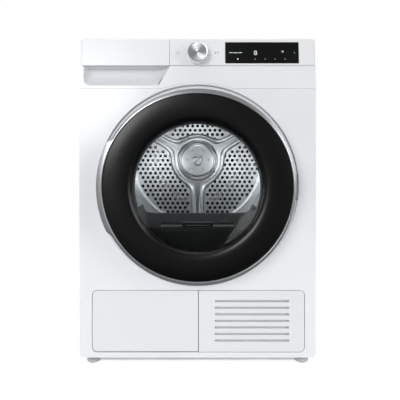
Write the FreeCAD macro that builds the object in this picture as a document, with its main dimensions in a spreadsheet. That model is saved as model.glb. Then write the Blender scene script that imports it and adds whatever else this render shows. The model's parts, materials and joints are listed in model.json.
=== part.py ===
import FreeCAD, Part
import math
import os
import Sketcher
from FreeCAD import Placement, Rotation, Vector

# A front-loading heat-pump clothes dryer, in millimetres.
# +X is to the right seen from the front, the front faces -Y and +Z is up.
# The origin is on the floor, at the middle of the overall box.

doc = FreeCAD.newDocument("ClothesDryer")

SIZES = {
    # cabinet
    "cabinet_width": 600, "cabinet_height": 845, "front_y": -275, "rear_y": 318,
    "sheet_steel": 1.5, "flange_radius": 205.2, "air_hole": 200, "worktop_thickness": 16, "worktop_inset": 2, "worktop_front": -262,
    "front_bottom": 30.4, "front_depth": 18, "seam_height": 712.6, "corner_radius": 10,
    "clearance": 0.4,
    # door recess in the front panel
    "door_height": 467, "recess_radius": 256.5, "recess_depth": 12, "rim_radius": 261,
    "opening_radius": 206,
    # control panel, in a frame that leans back from the seam
    "panel_lean": 4, "panel_height": 128, "panel_depth": 28, "panel_wall": 3,
    "bar_bottom": 58, "bar_top": 127, "bar_proud": 4, "bar_right": 297,
    "drawer_left": -293, "drawer_right": -71.5, "scoop_bottom": 7, "scoop_depth": 26,
    "display_left": 70.5, "display_right": 257, "display_bottom": 63.9, "display_top": 118.3,
    "knob_centre": 86.5, "knob_radius": 26, "knob_proud": 20,
    # kick area under the door
    "kick_left": -268, "kick_right": 272, "kick_bottom": 43.6, "kick_top": 201.5,
    "kick_split": 2, "kick_corner": 14, "hatch_thickness": 7, "hinge_round": 1,
    "slot_left": 44, "slot_right": 232, "slot_first": 73.5,
    "slot_pitch": 16.6, "slot_gap": 5,
    # door
    "door_front": -325, "bezel_outer": 236, "bezel_inner": 229, "grip_radius": 243,
    "frame_outer": 252, "frame_back": -268, "window_radius": 157, "window_y": -303,
    "bowl_y": -264, "hinge_x": 238, "hinge_y": -300, "hinge_pin": 3.5, "hinge_half": 32,
    "finger_radius": 230, "hook_x": -216,
    # drum
    "drum_height": 526, "drum_radius": 283, "drum_wall": 1.5, "drum_front": -212,
    "drum_rear": 228, "drum_lip": 262.3, "drum_back_y": 224, "shaft_radius": 10,
    "lifter_height": 50, "bearing_radius": 22,
    # front bulkhead and its D-shaped mouth
    "bulkhead_y": -226, "bulkhead_sheet": 6, "mouth_radius": 170, "mouth_height": 458,
    "sill_height": 352, "throat_wall": 3, "flange_y": -261.2, "collar_radius": 258,
    "filter_half": 95, "filter_front": -253.5, "filter_back": -231.5, "filter_bottom": 262,
    # drive
    "roller_radius": 30, "roller_x": 147.8, "roller_z": 248, "roller_pin": 5,
    "motor_x": 150, "motor_z": 125, "motor_radius": 58, "motor_shaft": 6,
    "pulley_radius": 11, "belt_y": 24, "belt_width": 10, "belt_thickness": 1.8,
    "idler_x": 88, "idler_z": 147, "idler_radius": 16, "idler_pivot_x": 40,
    "idler_pivot_z": 150, "fan_radius": 78,
    # base unit
    "base_bottom": 12, "base_floor": 34, "base_half": 286, "base_front": -254,
    "base_rear": 308, "duct_left": -272, "duct_right": -20, "duct_top": 198,
    # feet
    "foot_x": 275, "foot_front": -232, "foot_rear": 270, "foot_radius": 19,
    # exchanger cover latches and the two pipes through the back
    "latch_left": -248, "latch_right": -46, "latch_z": 122, "inlet_x": 250, "inlet_z": 90,
    "drain_x": -240, "drain_z": 120,
    # tank
    "tank_left": -288, "tank_right": -80, "tank_top": 826, "tank_rear": 180,
}

sheet = doc.addObject("Spreadsheet::Sheet", "Sizes")
for row, (alias, number) in enumerate(SIZES.items(), start=1):
    sheet.set("A%d" % row, alias)
    sheet.set("B%d" % row, str(number))
    sheet.setAlias("B%d" % row, alias)
doc.recompute()

NODES = []


def formula(text):
    """The text with each size's name turned into its cell on the sheet."""
    words = str(text).replace("(", " ( ").replace(")", " ) ").split()
    return " ".join("Sizes." + word if word in SIZES else word for word in words)


def bind(thing, prop, text):
    thing.setExpression(prop, formula(text))


def node(thing, label):
    """Names a finished piece and lists it for export."""
    thing.Label = label
    NODES.append(thing)
    return thing


def place(thing, x=0, y=0, z=0):
    """Binds a piece's position to the sheet and keeps its rotation."""
    for axis, text in zip("xyz", (x, y, z)):
        bind(thing, "Placement.Base." + axis, text)
    return thing


def block(x0, x1, y0, y1, z0, z1):
    """A box between two corners, each a formula."""
    box = doc.addObject("Part::Box", "Block")
    for prop, low, high in (("Length", x0, x1), ("Width", y0, y1), ("Height", z0, z1)):
        bind(box, prop, "( %s ) - ( %s )" % (high, low))
    return place(box, x0, y0, z0)


TURNS = {"x": Rotation(Vector(0, 1, 0), 90), "y": Rotation(Vector(1, 0, 0), -90), "z": Rotation()}


def rod(axis, radius, x, y, z, length):
    """A cylinder that runs from a point along +X, +Y or +Z."""
    cylinder = doc.addObject("Part::Cylinder", "Rod")
    bind(cylinder, "Radius", radius)
    bind(cylinder, "Height", length)
    cylinder.Placement = Placement(Vector(), TURNS[axis])
    return place(cylinder, x, y, z)


def fuse(*pieces):
    joined = doc.addObject("Part::MultiFuse", "Fuse")
    joined.Shapes = list(pieces)
    return joined


def cut(base, *tools):
    """The base less every tool."""
    result = doc.addObject("Part::Cut", "Cut")
    result.Base = base
    result.Tool = tools[0] if len(tools) == 1 else fuse(*tools)
    return result


def common(*pieces):
    shared = doc.addObject("Part::MultiCommon", "Common")
    shared.Shapes = list(pieces)
    return shared


def group(*pieces):
    """Separate solids kept together in one node."""
    compound = doc.addObject("Part::Compound", "Group")
    compound.Links = list(pieces)
    return compound


def sketch_on(body, role):
    """A sketch on one of a body's own origin planes."""
    plane = [item for item in body.Origin.OriginFeatures if item.Role == role][0]
    sketch = body.newObject("Sketcher::SketchObject", "Sketch")
    sketch.AttachmentSupport = (plane, "")
    sketch.MapMode = "FlatFace"
    return sketch


def pin(sketch, geometry, point, x, y):
    """Fixes one point of a sketch at two formulas."""
    for kind, text in (("DistanceX", x), ("DistanceY", y)):
        index = sketch.addConstraint(Sketcher.Constraint(kind, -1, 1, geometry, point, 1.0))
        bind(sketch, "Constraints[%d]" % index, text)


def polygon(sketch, corners):
    """A closed outline with straight sides, each corner a pair of formulas."""
    count = len(corners)
    first = len(sketch.Geometry)
    ring = [Vector(100 * math.cos(2 * math.pi * k / count), 100 * math.sin(2 * math.pi * k / count), 0)
            for k in range(count)]
    for k in range(count):
        sketch.addGeometry(Part.LineSegment(ring[k], ring[(k + 1) % count]), False)
    for k in range(count):
        following = first + (k + 1) % count
        sketch.addConstraint(Sketcher.Constraint("Coincident", first + k, 2, following, 1))
    for k, (x, y) in enumerate(corners):
        pin(sketch, first + k, 1, x, y)


def circle(sketch, x, y, radius):
    index = sketch.addGeometry(Part.Circle(Vector(0, 0, 0), Vector(0, 0, 1), 10), False)
    pin(sketch, index, 3, x, y)
    size = sketch.addConstraint(Sketcher.Constraint("Radius", index, 10.0))
    bind(sketch, "Constraints[%d]" % size, radius)


def prism(role, corners, start, length, reverse=False):
    """An outline on an origin plane, padded along the plane's normal from a start."""
    body = doc.addObject("PartDesign::Body", "Body")
    sketch = sketch_on(body, role)
    polygon(sketch, corners)
    pad = body.newObject("PartDesign::Pad", "Pad")
    pad.Profile = sketch
    bind(pad, "Length", length)
    pad.Reversed = reverse
    axis = {"XY_Plane": "z", "XZ_Plane": "y", "YZ_Plane": "x"}[role]
    bind(body, "Placement.Base." + axis, start)
    return body


def lathe(role, corners, x=0, y=0, z=0):
    """An outline of (radius, height) corners turned about the sketch's vertical axis."""
    body = doc.addObject("PartDesign::Body", "Body")
    sketch = sketch_on(body, role)
    polygon(sketch, corners)
    turned = body.newObject("PartDesign::Revolution", "Revolution")
    turned.Profile = sketch
    turned.ReferenceAxis = (sketch, ["V_Axis"])
    turned.Angle = 360
    return place(body, x, y, z)


def ring_y(inner, outer, y0, y1, x=0, z=0):
    """A ring about an axis along Y, between two depths."""
    corners = [(inner, y0), (outer, y0), (outer, y1), (inner, y1)]
    return lathe("XY_Plane", corners, x, 0, z)


def round_edges(piece, radius, wanted):
    """A fillet on the edges that a test picks out by their middle point and direction."""
    doc.recompute()
    bent = doc.addObject("Part::Fillet", "Fillet")
    bent.Base = piece
    picked = []
    for number, edge in enumerate(piece.Shape.Edges, start=1):
        middle = edge.CenterOfMass
        along = edge.tangentAt(edge.FirstParameter)
        if wanted(middle, along):
            picked.append((number, radius, radius))
    bent.Edges = picked
    return bent


# ---------------------------------------------------------------- cabinet

def upright(middle, along):
    return abs(along.z) > 0.99


def make_worktop():
    """A laminated board with rounded corners and a softened top edge."""
    slab = block("- cabinet_width / 2 + worktop_inset", "cabinet_width / 2 - worktop_inset",
                 "worktop_front", "rear_y + 4", "cabinet_height - worktop_thickness", "cabinet_height")
    rounded = round_edges(slab, 6, upright)
    top = SIZES["cabinet_height"]
    node(round_edges(rounded, 2.5, lambda middle, along: middle.z > top - 0.1), "worktop")


def make_side_panels():
    """Steel sides, folded inwards at the front and at the rear."""
    height = "cabinet_height - worktop_thickness - clearance - front_bottom"
    for label, side in (("side_panel_left", "-"), ("side_panel_right", "")):
        outer, inner = side + " 300", side + " ( 300 - sheet_steel )"
        fold = side + " 291"
        front, back = "front_y + front_depth + clearance", "rear_y"
        corners = [(outer, front), (fold, front), (fold, front + " + sheet_steel"),
                   (inner, front + " + sheet_steel"), (inner, back + " - sheet_steel"),
                   (fold, back + " - sheet_steel"), (fold, back), (outer, back)]
        node(prism("XY_Plane", corners, "front_bottom", height), label)


def make_front_panel():
    """A pressed steel front with a round recess for the door and the kick area's opening."""
    half, back = "cabinet_width / 2", "front_y + front_depth"
    plate = round_edges(block("- " + half, half, "front_y", back, "front_bottom", "seam_height"),
                        SIZES["corner_radius"],
                        lambda m, d: abs(d.y) > 0.99 and m.z < SIZES["front_bottom"] + 1)
    rim = rod("y", "rim_radius", 0, "front_y", "door_height", "front_depth")
    inner = block("- %s + sheet_steel" % half, half + " - sheet_steel", "front_y + sheet_steel",
                  back + " + 1", "front_bottom + sheet_steel", "seam_height - sheet_steel")
    inner_rim = rod("y", "rim_radius - sheet_steel", 0, "front_y + sheet_steel", "door_height",
                    "front_depth")
    dish = rod("y", "recess_radius + sheet_steel", 0, "front_y", "door_height",
               "recess_depth + sheet_steel")
    skin = fuse(cut(fuse(plate, rim), fuse(inner, inner_rim)), dish)
    recess = rod("y", "recess_radius", 0, "front_y - 1", "door_height", "recess_depth + 1")
    opening = rod("y", "opening_radius", 0, "front_y - 1", "door_height", "front_depth + 2")
    kick = round_edges(block("kick_left", "kick_right", "front_y - 1", back + " + 1", "kick_bottom",
                             "kick_top"), SIZES["kick_corner"], lambda m, d: abs(d.y) > 0.99)
    slot = block("hook_x - 7", "hook_x + 7", "front_y", back, "door_height - 15", "door_height + 15")
    hinge = block("hinge_x - 11", "hinge_x + 11", "front_y + recess_depth - 1", back,
                  "door_height - hinge_half", "door_height + hinge_half")
    node(cut(skin, recess, opening, kick, slot, hinge), "front_panel")


def make_rear():
    """The steel back, its bulging air duct cover, and the screws that hold them."""
    half = "cabinet_width / 2 - sheet_steel - clearance"
    plate = block("- ( %s )" % half, half, "rear_y - 4", "rear_y - 2.5", "front_bottom",
                  "cabinet_height - worktop_thickness - clearance")
    hole = rod("y", "air_hole", 0, "rear_y - 10", "drum_height", 20)
    inlet = rod("y", 9, "inlet_x", "rear_y - 10", "inlet_z", 20)
    drain = rod("y", 10, "drain_x", "rear_y - 10", "drain_z", 20)
    fan = block(80, 212, "rear_y - 10", "rear_y + 10", 60, 200)
    node(cut(plate, hole, inlet, drain, fan), "rear_panel")
    dome = fuse(rod("y", 222, 0, "rear_y - 2.2", "drum_height", 9.2),
                block(64, 228, "rear_y - 2.2", "rear_y + 7", 50, 400))
    inside = fuse(rod("y", 205, 0, "rear_y - 3", "drum_height", 8.5),
                  block(76, 216, "rear_y - 3", "rear_y + 5.5", 62, 390))
    node(cut(dome, inside), "rear_duct_cover")
    screws = []
    for x in (-295, 295):
        for z in (60, 300, 540, 780):
            screws.append(rod("y", 3.5, x, "rear_y + 0.1", z, 2.5))
    node(group(*screws), "cabinet_screws")


def make_mains_inlet():
    """The gland in the back that the mains lead would come out of."""
    body = rod("y", 8.8, "inlet_x", "rear_y - 14", "inlet_z", 14)
    flange = rod("y", 14, "inlet_x", "rear_y - 2.3", "inlet_z", 5)
    bore = rod("y", 4, "inlet_x", "rear_y - 20", "inlet_z", 30)
    node(cut(fuse(body, flange), bore), "mains_inlet")


# ---------------------------------------------------------------- control panel

def lean(piece):
    """Tips a piece of the control panel back about the seam."""
    piece.Placement = Placement(Vector(), Rotation(Vector(1, 0, 0), -SIZES["panel_lean"]))
    return place(piece, 0, "front_y", "seam_height + clearance")


def scoop_outline():
    """The finger scoop under the drawer: square at the left, slanted at the right."""
    return [("drawer_left + 3", "bar_bottom + 1"), ("drawer_left + 3", 22),
            ("drawer_left + 8", 11), ("drawer_left + 19", "scoop_bottom"),
            ("drawer_right - 29", "scoop_bottom"), ("drawer_right", "bar_bottom - 4"),
            ("drawer_right", "bar_bottom + 1")]


def make_control_panel():
    """The moulded carrier behind the fascia, with its drawer opening and finger scoop."""
    half = "cabinet_width / 2"
    side = [(0, 0), (-2, "bar_bottom - 1"), (0, "bar_bottom"), (0, "panel_height"),
            ("panel_depth", "panel_height"), ("panel_depth", 0)]
    carrier = prism("YZ_Plane", side, "- " + half, "cabinet_width")
    hollow = block("- %s + panel_wall" % half, half + " - panel_wall", "panel_wall",
                   "panel_depth + 1", "panel_wall", "panel_height - panel_wall")
    basin = block("drawer_left - 1", "drawer_right + 3", 0, "panel_depth", "1", "bar_bottom")
    drawer = block("drawer_left - 0.5", "drawer_right + 0.5", -10, "panel_depth + 2",
                   "bar_bottom - 0.6", "panel_height - 1")
    scoop = prism("XZ_Plane", scoop_outline(), -10, "scoop_depth + 10", True)
    spindle = rod("y", 6, 0, -20, "knob_centre", 60)
    leaning = lean(cut(fuse(cut(carrier, hollow), basin), drawer, scoop, spindle))
    rim = rod("y", "rim_radius + clearance", 0, -300, "door_height", 100)
    below = block(-310, 310, -300, -200, 600, "seam_height + clearance")
    top = "cabinet_height - worktop_thickness - clearance"
    above = block(-310, 310, "worktop_front - clearance", -200, top, 900)
    sides = [block(x, x + 30, "front_y + front_depth", -200, 700, 900) for x in (-310, 280)]
    node(cut(leaning, rim, below, above, *sides), "control_panel")


def make_fascia():
    """The raised bar that carries the dial and the display."""
    slab = block("drawer_right + 0.7", "bar_right", "- bar_proud", -0.2, "bar_bottom + 0.4", "bar_top")
    bar = round_edges(slab, 2, lambda m, d: abs(d.x) > 0.99 and m.y < -3)
    window = block("display_left - 0.3", "display_right + 0.3", -10, "- bar_proud + 2.2",
                   "display_bottom - 0.3", "display_top + 0.3")
    spindle = rod("y", 6, 0, -20, "knob_centre", 60)
    node(lean(cut(bar, window, spindle)), "control_fascia")
    glass = block("display_left", "display_right", "- bar_proud - 0.3", "- bar_proud + 2",
                  "display_bottom", "display_top")
    node(lean(group(glass)), "display_glass")
    board = block(50, 270, 13, 14.6, 60, 112)
    encoder = block(-16, 16, 8, 14, "knob_centre - 16", "knob_centre + 16")
    bridge = block(-30, 51, 13, 14.6, 60, 112)
    node(lean(fuse(board, bridge, encoder)), "control_board")


def make_knob():
    """A turned dial with a chamfered rim, on a short spindle."""
    rim = "knob_radius"
    outline = [(0, "- bar_proud - knob_proud"), (rim + " - 3", "- bar_proud - knob_proud"),
               (rim, "- bar_proud - knob_proud + 3"), (rim, "- bar_proud - 0.5"),
               (5, "- bar_proud - 0.5"), (5, 7.6), (0, 7.6)]
    knob = lathe("XY_Plane", outline, 0, 0, "knob_centre")
    node(lean(group(knob)), "dial_knob")


# ---------------------------------------------------------------- kick area

def make_hatch():
    """The heat exchanger's hatch, a flat tray that turns on its rounded lower front edge."""
    left, right = "kick_left + 1.2", "kick_split - 0.8"
    slab = block(left, right, "front_y", "front_y + hatch_thickness", "kick_bottom + 2.4",
                 "kick_top - 1.4")
    tray = round_edges(slab, 12, lambda m, d: abs(d.y) > 0.99 and m.x < -200)
    outer = round_edges(tray, SIZES["hinge_round"],
                        lambda m, d: m.y < SIZES["front_y"] + 0.1 and m.z < 47)
    hollow = block(left + " + 12", right + " - 2.5", "front_y + 2.5", "front_y + 20",
                   "kick_bottom + 14", "kick_top - 13")
    node(cut(outer, hollow), "exchanger_hatch")


def make_grille():
    """The cooling air grille with its row of level slots."""
    left, right = "kick_split + 0.8", "kick_right - 1.2"
    slab = block(left, right, "front_y", "front_y + 5", "kick_bottom + 1.2", "kick_top - 1.4")
    outer = round_edges(slab, 12, lambda m, d: abs(d.y) > 0.99 and m.x > 200)
    slots = []
    for k in range(7):
        low = "slot_first - slot_gap / 2 + %d * slot_pitch" % k
        slots.append(block("slot_left", "slot_right", "front_y - 1", "front_y + 10", low,
                           low + " + slot_gap"))
    node(cut(outer, *slots), "vent_grille")


def make_inner_cover():
    """The lid over the heat exchanger and its two quarter-turn latches."""
    lid = block("duct_left + 5", "duct_right - 5", -250, -245, "base_floor + 12", "duct_top - 8")
    holes = [rod("y", 4.4, x, -255, "latch_z", 20) for x in ("latch_left", "latch_right")]
    node(cut(lid, *holes), "exchanger_cover")
    for label, x in (("cover_latch_left", "latch_left"), ("cover_latch_right", "latch_right")):
        grip = block(x + " - 4", x + " + 4", -260, -250.4, "latch_z - 18", "latch_z + 18")
        disc = rod("y", 11, x, -254, "latch_z", 3.6)
        stem = rod("y", 4, x, -254, "latch_z", 12)
        node(fuse(grip, disc, stem), label)


# ---------------------------------------------------------------- base unit

def make_base():
    """The moulded base: a keel, a tray with low walls, and the exchanger's duct in slabs."""
    wells = [rod("z", 6.4, x, y, 0, 100) for x in ("- foot_x", "foot_x")
             for y in ("foot_front", "foot_rear")]
    keel = block(-252, 252, "base_front", "base_rear - 6", "base_bottom", "base_bottom + 18")
    floor = cut(block("- base_half", "base_half", "base_front", "base_rear", "base_bottom + 18",
                      "base_floor"), *wells)
    walls = [block(x0, x1, y0, y1, "base_floor", 60) for x0, x1, y0, y1 in (
        ("- base_half", "base_half", "base_front", "base_front + 4"),
        ("- base_half", "base_half", "base_rear - 4", "base_rear"),
        ("- base_half", "- base_half + 4", "base_front + 4", "base_rear - 4"),
        ("base_half - 4", "base_half", "base_front + 4", "base_rear - 4"))]
    node(group(keel, floor, *walls, *duct_slabs(wells)), "base_unit")


def duct_slabs(wells):
    """The duct's flat walls, open at the front, with the filter's slot and the fan's window."""
    front, rear = "base_front + 8", 205
    low, high = "base_floor + 4", "duct_top - 4"
    spans = [("duct_left", "duct_right", front, rear, "base_floor", low),
             ("duct_left", "duct_left + 4", front, rear, low, high),
             ("duct_left + 4", "duct_right", 201, rear, low, high),
             ("duct_right - 4", "duct_right", front, 120, low, high),
             ("duct_left", "duct_right", -231, rear, high, "duct_top"),
             ("duct_left", "duct_right", front, -244, high, "duct_top"),
             ("duct_left", "- filter_half", -244, -231, high, "duct_top"),
             ("duct_right - 10", "duct_right", -244, -231, high, "duct_top")]
    return [cut(block(*span), *wells) if k < 2 else block(*span) for k, span in enumerate(spans)]


def make_feet():
    """Four round pads on threaded stems."""
    spots = (("front_left", -1, "foot_front"), ("front_right", 1, "foot_front"),
             ("rear_left", -1, "foot_rear"), ("rear_right", 1, "foot_rear"))
    for name, side, y in spots:
        outline = [(0, 0), ("foot_radius - 2", 0), ("foot_radius", 2), ("foot_radius", 9),
                   (8, 14), (6, 15), (6, 55), (0, 55)]
        node(lathe("XZ_Plane", outline, "%d * foot_x" % side, y, 0), "foot_" + name)


def make_compressor():
    """A welded pot with a domed lid, standing in the tray."""
    outline = [(0, 34.3), (50, 34.3), (50, 48), (62, 54), (62, 160), (54, 176), (34, 186), (0, 189)]
    node(lathe("XZ_Plane", outline, 190, -130, 0), "compressor")


def make_coils():
    """The evaporator and the condenser, two finned blocks with their tube bends, in the duct."""
    blocks = []
    for y0, y1 in ((-236, -130), (-100, 60)):
        fins = block("duct_left + 6", "duct_right - 14", y0, y1, "base_floor + 6", "duct_top - 12")
        plate = block("duct_right - 15", "duct_right - 12", y0, y1, 44, 184)
        bends = [rod("y", 4, "duct_right - 10", "%d + 12" % y0, z, y1 - y0 - 24)
                 for z in (70, 110, 150)]
        blocks.append(fuse(fins, plate, *bends))
    node(group(*blocks), "heat_exchanger_coils")


def tube(points, radius, bend):
    """A pipe along straight runs joined by arcs of one radius."""
    edges = []
    start = points[0]
    for corner, following in zip(points[1:-1], points[2:]):
        into, away = (corner - start).normalize(), (following - corner).normalize()
        turn = into.getAngle(away)
        reach = bend * math.tan(turn / 2)
        first, last = corner - into * reach, corner + away * reach
        towards = (away - into).normalize()
        middle = corner + towards * (bend / math.cos(turn / 2) - bend)
        edges.append(Part.LineSegment(start, first).toShape())
        edges.append(Part.Arc(first, middle, last).toShape())
        start = last
    edges.append(Part.LineSegment(start, points[-1]).toShape())
    path = Part.Wire(edges)
    section = Part.Wire([Part.Circle(points[0], (points[1] - points[0]), radius).toShape()])
    return path.makePipeShell([section], True, True)


def make_pipes():
    """The copper loop between the compressor and the coils, and the condensate hose."""
    beside, above = SIZES["duct_right"] + 0.3, SIZES["duct_top"] + 0.3
    hot = [Vector(190, -130, 189.3), Vector(190, -130, 226), Vector(60, -130, 226),
           Vector(60, -60, 226), Vector(-40, -60, 226), Vector(-40, -60, above)]
    cold = [Vector(127.7, -130, 90), Vector(80, -130, 90), Vector(80, -180, 90),
            Vector(beside, -180, 90)]
    pipes = doc.addObject("Part::Feature", "Pipes")
    pipes.Shape = Part.Compound([tube(hot, 4, 12), tube(cold, 4, 12)])
    node(pipes, "refrigerant_pipes")
    hose = doc.addObject("Part::Feature", "Hose")
    route = [Vector(-230, 255, 96), Vector(-230, 255, 300), Vector(-270, 285, 420),
             Vector(-270, 285, 780), Vector(-245, 240, 800), Vector(-245, 184, 800)]
    hose.Shape = tube(route, 5, 18)
    node(hose, "condensate_hose")


def make_pump():
    """The condensate pump in the rear left of the base, with the drain spigot."""
    body = block(-268, -200, 222, 292, "base_floor + 0.4", 96)
    spigot = rod("y", 9, "drain_x", 292, "drain_z", 29)
    riser = block(-250, -230, 262, 292.5, 90, 131)
    bore = rod("y", 6, "drain_x", 270, "drain_z", 60)
    node(cut(fuse(body, spigot, riser), bore), "condensate_pump")


# ---------------------------------------------------------------- front bulkhead and filter

def mouth(radius, flat, y0, length):
    """A D-shaped plug: a cylinder with its lower part cut off level."""
    barrel = rod("y", radius, 0, y0, "mouth_height", length)
    above = block(-200, 200, y0, "%s + %s" % (y0, length), flat, 700)
    return common(barrel, above)


def make_front_bulkhead():
    """What closes the drum's front: the plate with its collar and pins, and the door's throat."""
    back = "bulkhead_y + bulkhead_sheet"
    disc = rod("y", 280, 0, "bulkhead_y", "drum_height", "bulkhead_sheet")
    skirt = block(-285, 285, "bulkhead_y", back, "duct_top + 1", 500)
    plate = cut(fuse(disc, skirt), mouth("mouth_radius", "sill_height", -270, 80))
    collar = ring_y("collar_radius - 4", "collar_radius", back, "bulkhead_y + 28", 0, "drum_height")
    flange = cut(rod("y", "flange_radius", 0, "flange_y", "door_height", 3),
                 mouth("mouth_radius", "sill_height", -270, 80))
    throat = cut(mouth("mouth_radius + throat_wall", "sill_height", "flange_y + 3",
                       "bulkhead_y - 3 - flange_y"),
                 mouth("mouth_radius", "sill_height - 10", -270, 80))
    pins = [rod("y", "roller_pin", "%d * roller_x" % side, back, "roller_z", 36)
            for side in (-1, 1)]
    node(group(plate, collar, *pins), "front_bulkhead")
    node(group(flange, throat), "mouth_throat")
    felt = ring_y("collar_radius + 0.1", "drum_lip - 0.4", -216, -200, 0, "drum_height")
    rear = ring_y(266, 281, "drum_rear + 0.4", 239.8, 0, "drum_height")
    node(group(felt, rear), "drum_felt_seals")
    lamp = fuse(rod("y", 13, 0, back + " + 0.2", 690, 4), rod("y", 10, 0, back + " + 2", 690, 10))
    node(lamp, "drum_lamp")


def make_filter():
    """The lint filter's duct, its sloping tray, and the filter that lifts out of it."""
    wide = "filter_half + 10"
    front, back = "filter_front - 0.8", "filter_back + 0.8"
    duct = cut(block("- " + wide, wide, front + " - 2.6", back + " + 4", "duct_top + 1", 352),
               block("- filter_half - 1", "filter_half + 1", front, back, 180, 360))
    slope = [(-257.2, 351), (-257.2, 354), (-166, 378), (-162, 378), (-162, 373), (-166, 373)]
    tray = common(prism("YZ_Plane", slope, -160, 320),
                  rod("y", "mouth_radius - 0.4", 0, -260, "mouth_height", 120))
    slot = block("- filter_half - 1", "filter_half + 1", front, back, 340, 380)
    node(cut(fuse(duct, tray), slot), "filter_housing")
    low, high, near, far = "- filter_half", "filter_half", "filter_front", "filter_back"
    body = block(low, high, near, far, "filter_bottom", 356)
    chamber = block(low + " + 8", high + " - 8", near + " + 2", far + " - 2",
                    "filter_bottom + 8", 345)
    windows = block(low + " + 10", high + " - 10", near + " - 5", far + " + 5",
                    "filter_bottom + 12", 335)
    screens = [block(low + " + 8.2", high + " - 8.2", y, y + " + 0.6", "filter_bottom + 8.2", 344)
               for y in (near + " + 2.2", far + " - 2.8")]
    handle = cut(block(-40, 40, near + " + 5", far + " - 5", 355, 367),
                 block(-32, 32, near, far, 359, 364))
    node(group(fuse(cut(body, chamber, windows), handle), *screens), "lint_filter")


# ---------------------------------------------------------------- door

def make_door():
    """The round door: frame, bezel with its grip, dished ring, window, bowl and pin."""
    z = "door_height"
    skirt = lathe("XY_Plane", [("frame_outer", "frame_back - 2"), ("frame_outer", "frame_back - 4"),
                               (240, "door_front + 8"), (236.5, "door_front + 8"),
                               ("frame_outer - 5", "frame_back - 6"),
                               ("frame_outer - 5", "frame_back - 2")], 0, 0, z)
    back = ring_y(176, "frame_outer", "frame_back - 2", "frame_back + 2", 0, z)
    collar = ring_y(176, 180, -297, "frame_back - 2", 0, z)
    filled = [("frame_outer", "frame_back + 2"), ("frame_outer", "frame_back - 4"),
              (240, "door_front + 8"), (176, "door_front + 8"), (176, "frame_back + 2")]
    finger = (-262, "- finger_radius", 85)
    notch = ("hinge_x - 14", 262, "hinge_half - 2")
    pockets, walls = [], []
    for low, high, half in (finger, notch):
        grow_low = low if low == -262 else low + " - 4"
        grow_high = high if high == 262 else high + " + 4"
        pockets.append(block(low, high, "door_front + 7.7", -255, "door_height - %s" % half,
                             "door_height + %s" % half))
        outer = block(grow_low, grow_high, "door_front + 12", -255, "door_height - %s - 4" % half,
                      "door_height + %s + 4" % half)
        walls.append(common(lathe("XY_Plane", filled, 0, 0, z), outer))
    pin_hole = rod("z", "hinge_pin", "hinge_x", "hinge_y", "door_height - hinge_half - 1.6",
                   "2 * hinge_half + 3.2")
    hook = fuse(block("hook_x - 4", "hook_x + 4", "frame_back + 2", -252, "door_height - 10",
                      "door_height + 10"),
                block("hook_x + 4", "hook_x + 6", -257, -252, "door_height - 10", "door_height + 10"))
    shells = [cut(part, *pockets, pin_hole) for part in (skirt, back)]
    linings = [cut(wall, *pockets, pin_hole, skirt, back) for wall in walls]
    node(group(*shells, collar, *linings, hook), "door_frame")
    bezel = ring_y("bezel_inner", "bezel_outer", "door_front", "door_front + 7.6", 0, z)
    lip = ring_y("bezel_outer - 2", "grip_radius", "door_front + 0.6", "door_front + 6", 0, z)
    left = block(-260, -150, "door_front - 1", -300, "door_height - 112", "door_height + 112")
    node(fuse(bezel, common(lip, left)), "door_bezel")
    dished = [("window_radius + 0.3", "window_y"), ("window_radius + 5", "window_y - 10.5"),
              ("window_radius + 16", "window_y - 16.5"), (205, "window_y - 19.6"),
              ("bezel_inner - 0.3", "window_y - 18.4"), ("bezel_inner - 0.3", "window_y - 15.4"),
              (205, "window_y - 16.6"), ("window_radius + 17", "window_y - 13.5"),
              ("window_radius + 8", "window_y - 8"), ("window_radius + 4", "window_y + 3"),
              ("window_radius + 0.3", "window_y + 3")]
    node(lathe("XY_Plane", dished, 0, 0, z), "door_glass")
    node(rod("y", "window_radius", 0, "window_y - 0.5", z, 4), "door_window")
    floor = rod("y", 116, 0, "bowl_y - 8", z, 4)
    cone = lathe("XY_Plane", [(116, "bowl_y - 8"), (148, -296), (150, -292), (118, "bowl_y - 4"),
                              (116, "bowl_y - 4")], 0, 0, z)
    flange = lathe("XY_Plane", [(148, -296), (175.7, -296), (175.7, -292), (150, -292)], 0, 0, z)
    node(group(floor, cone, flange), "door_bowl")
    node(rod("z", "hinge_pin", "hinge_x", "hinge_y", "door_height - hinge_half - 1.5",
             "2 * hinge_half + 3"), "door_pin")
    node(ring_y(190, 204, -265, -261.4, 0, z), "door_gasket")


def make_door_fittings():
    """The hinge arm that the door's pin turns in, and the catch that takes its hook."""
    low, tall = "door_height - hinge_half + 4", "2 * hinge_half - 8"
    high = low + " + " + tall
    knuckle = rod("z", "hinge_pin + 3.5", "hinge_x", "hinge_y", low, tall)
    arm = block("hinge_x - 4", "hinge_x + 4", "hinge_y", -260, low, high)
    plate = block("hinge_x - 18", "hinge_x + 14", "flange_y", "flange_y + 3.2", "door_height - 42", "door_height + 42")
    bore = rod("z", "hinge_pin + 0.1", "hinge_x", "hinge_y", "door_height - 60", 120)
    node(cut(fuse(knuckle, arm, plate), bore), "hinge_bracket")
    case = block("hook_x - 11", "hook_x + 9.6", "flange_y", -244, "door_height - 20", "door_height + 20")
    hollow = block("hook_x - 8", "hook_x + 8", -262, -247, "door_height - 15", "door_height + 15")
    node(cut(case, hollow), "door_catch")


# ---------------------------------------------------------------- drum

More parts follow.
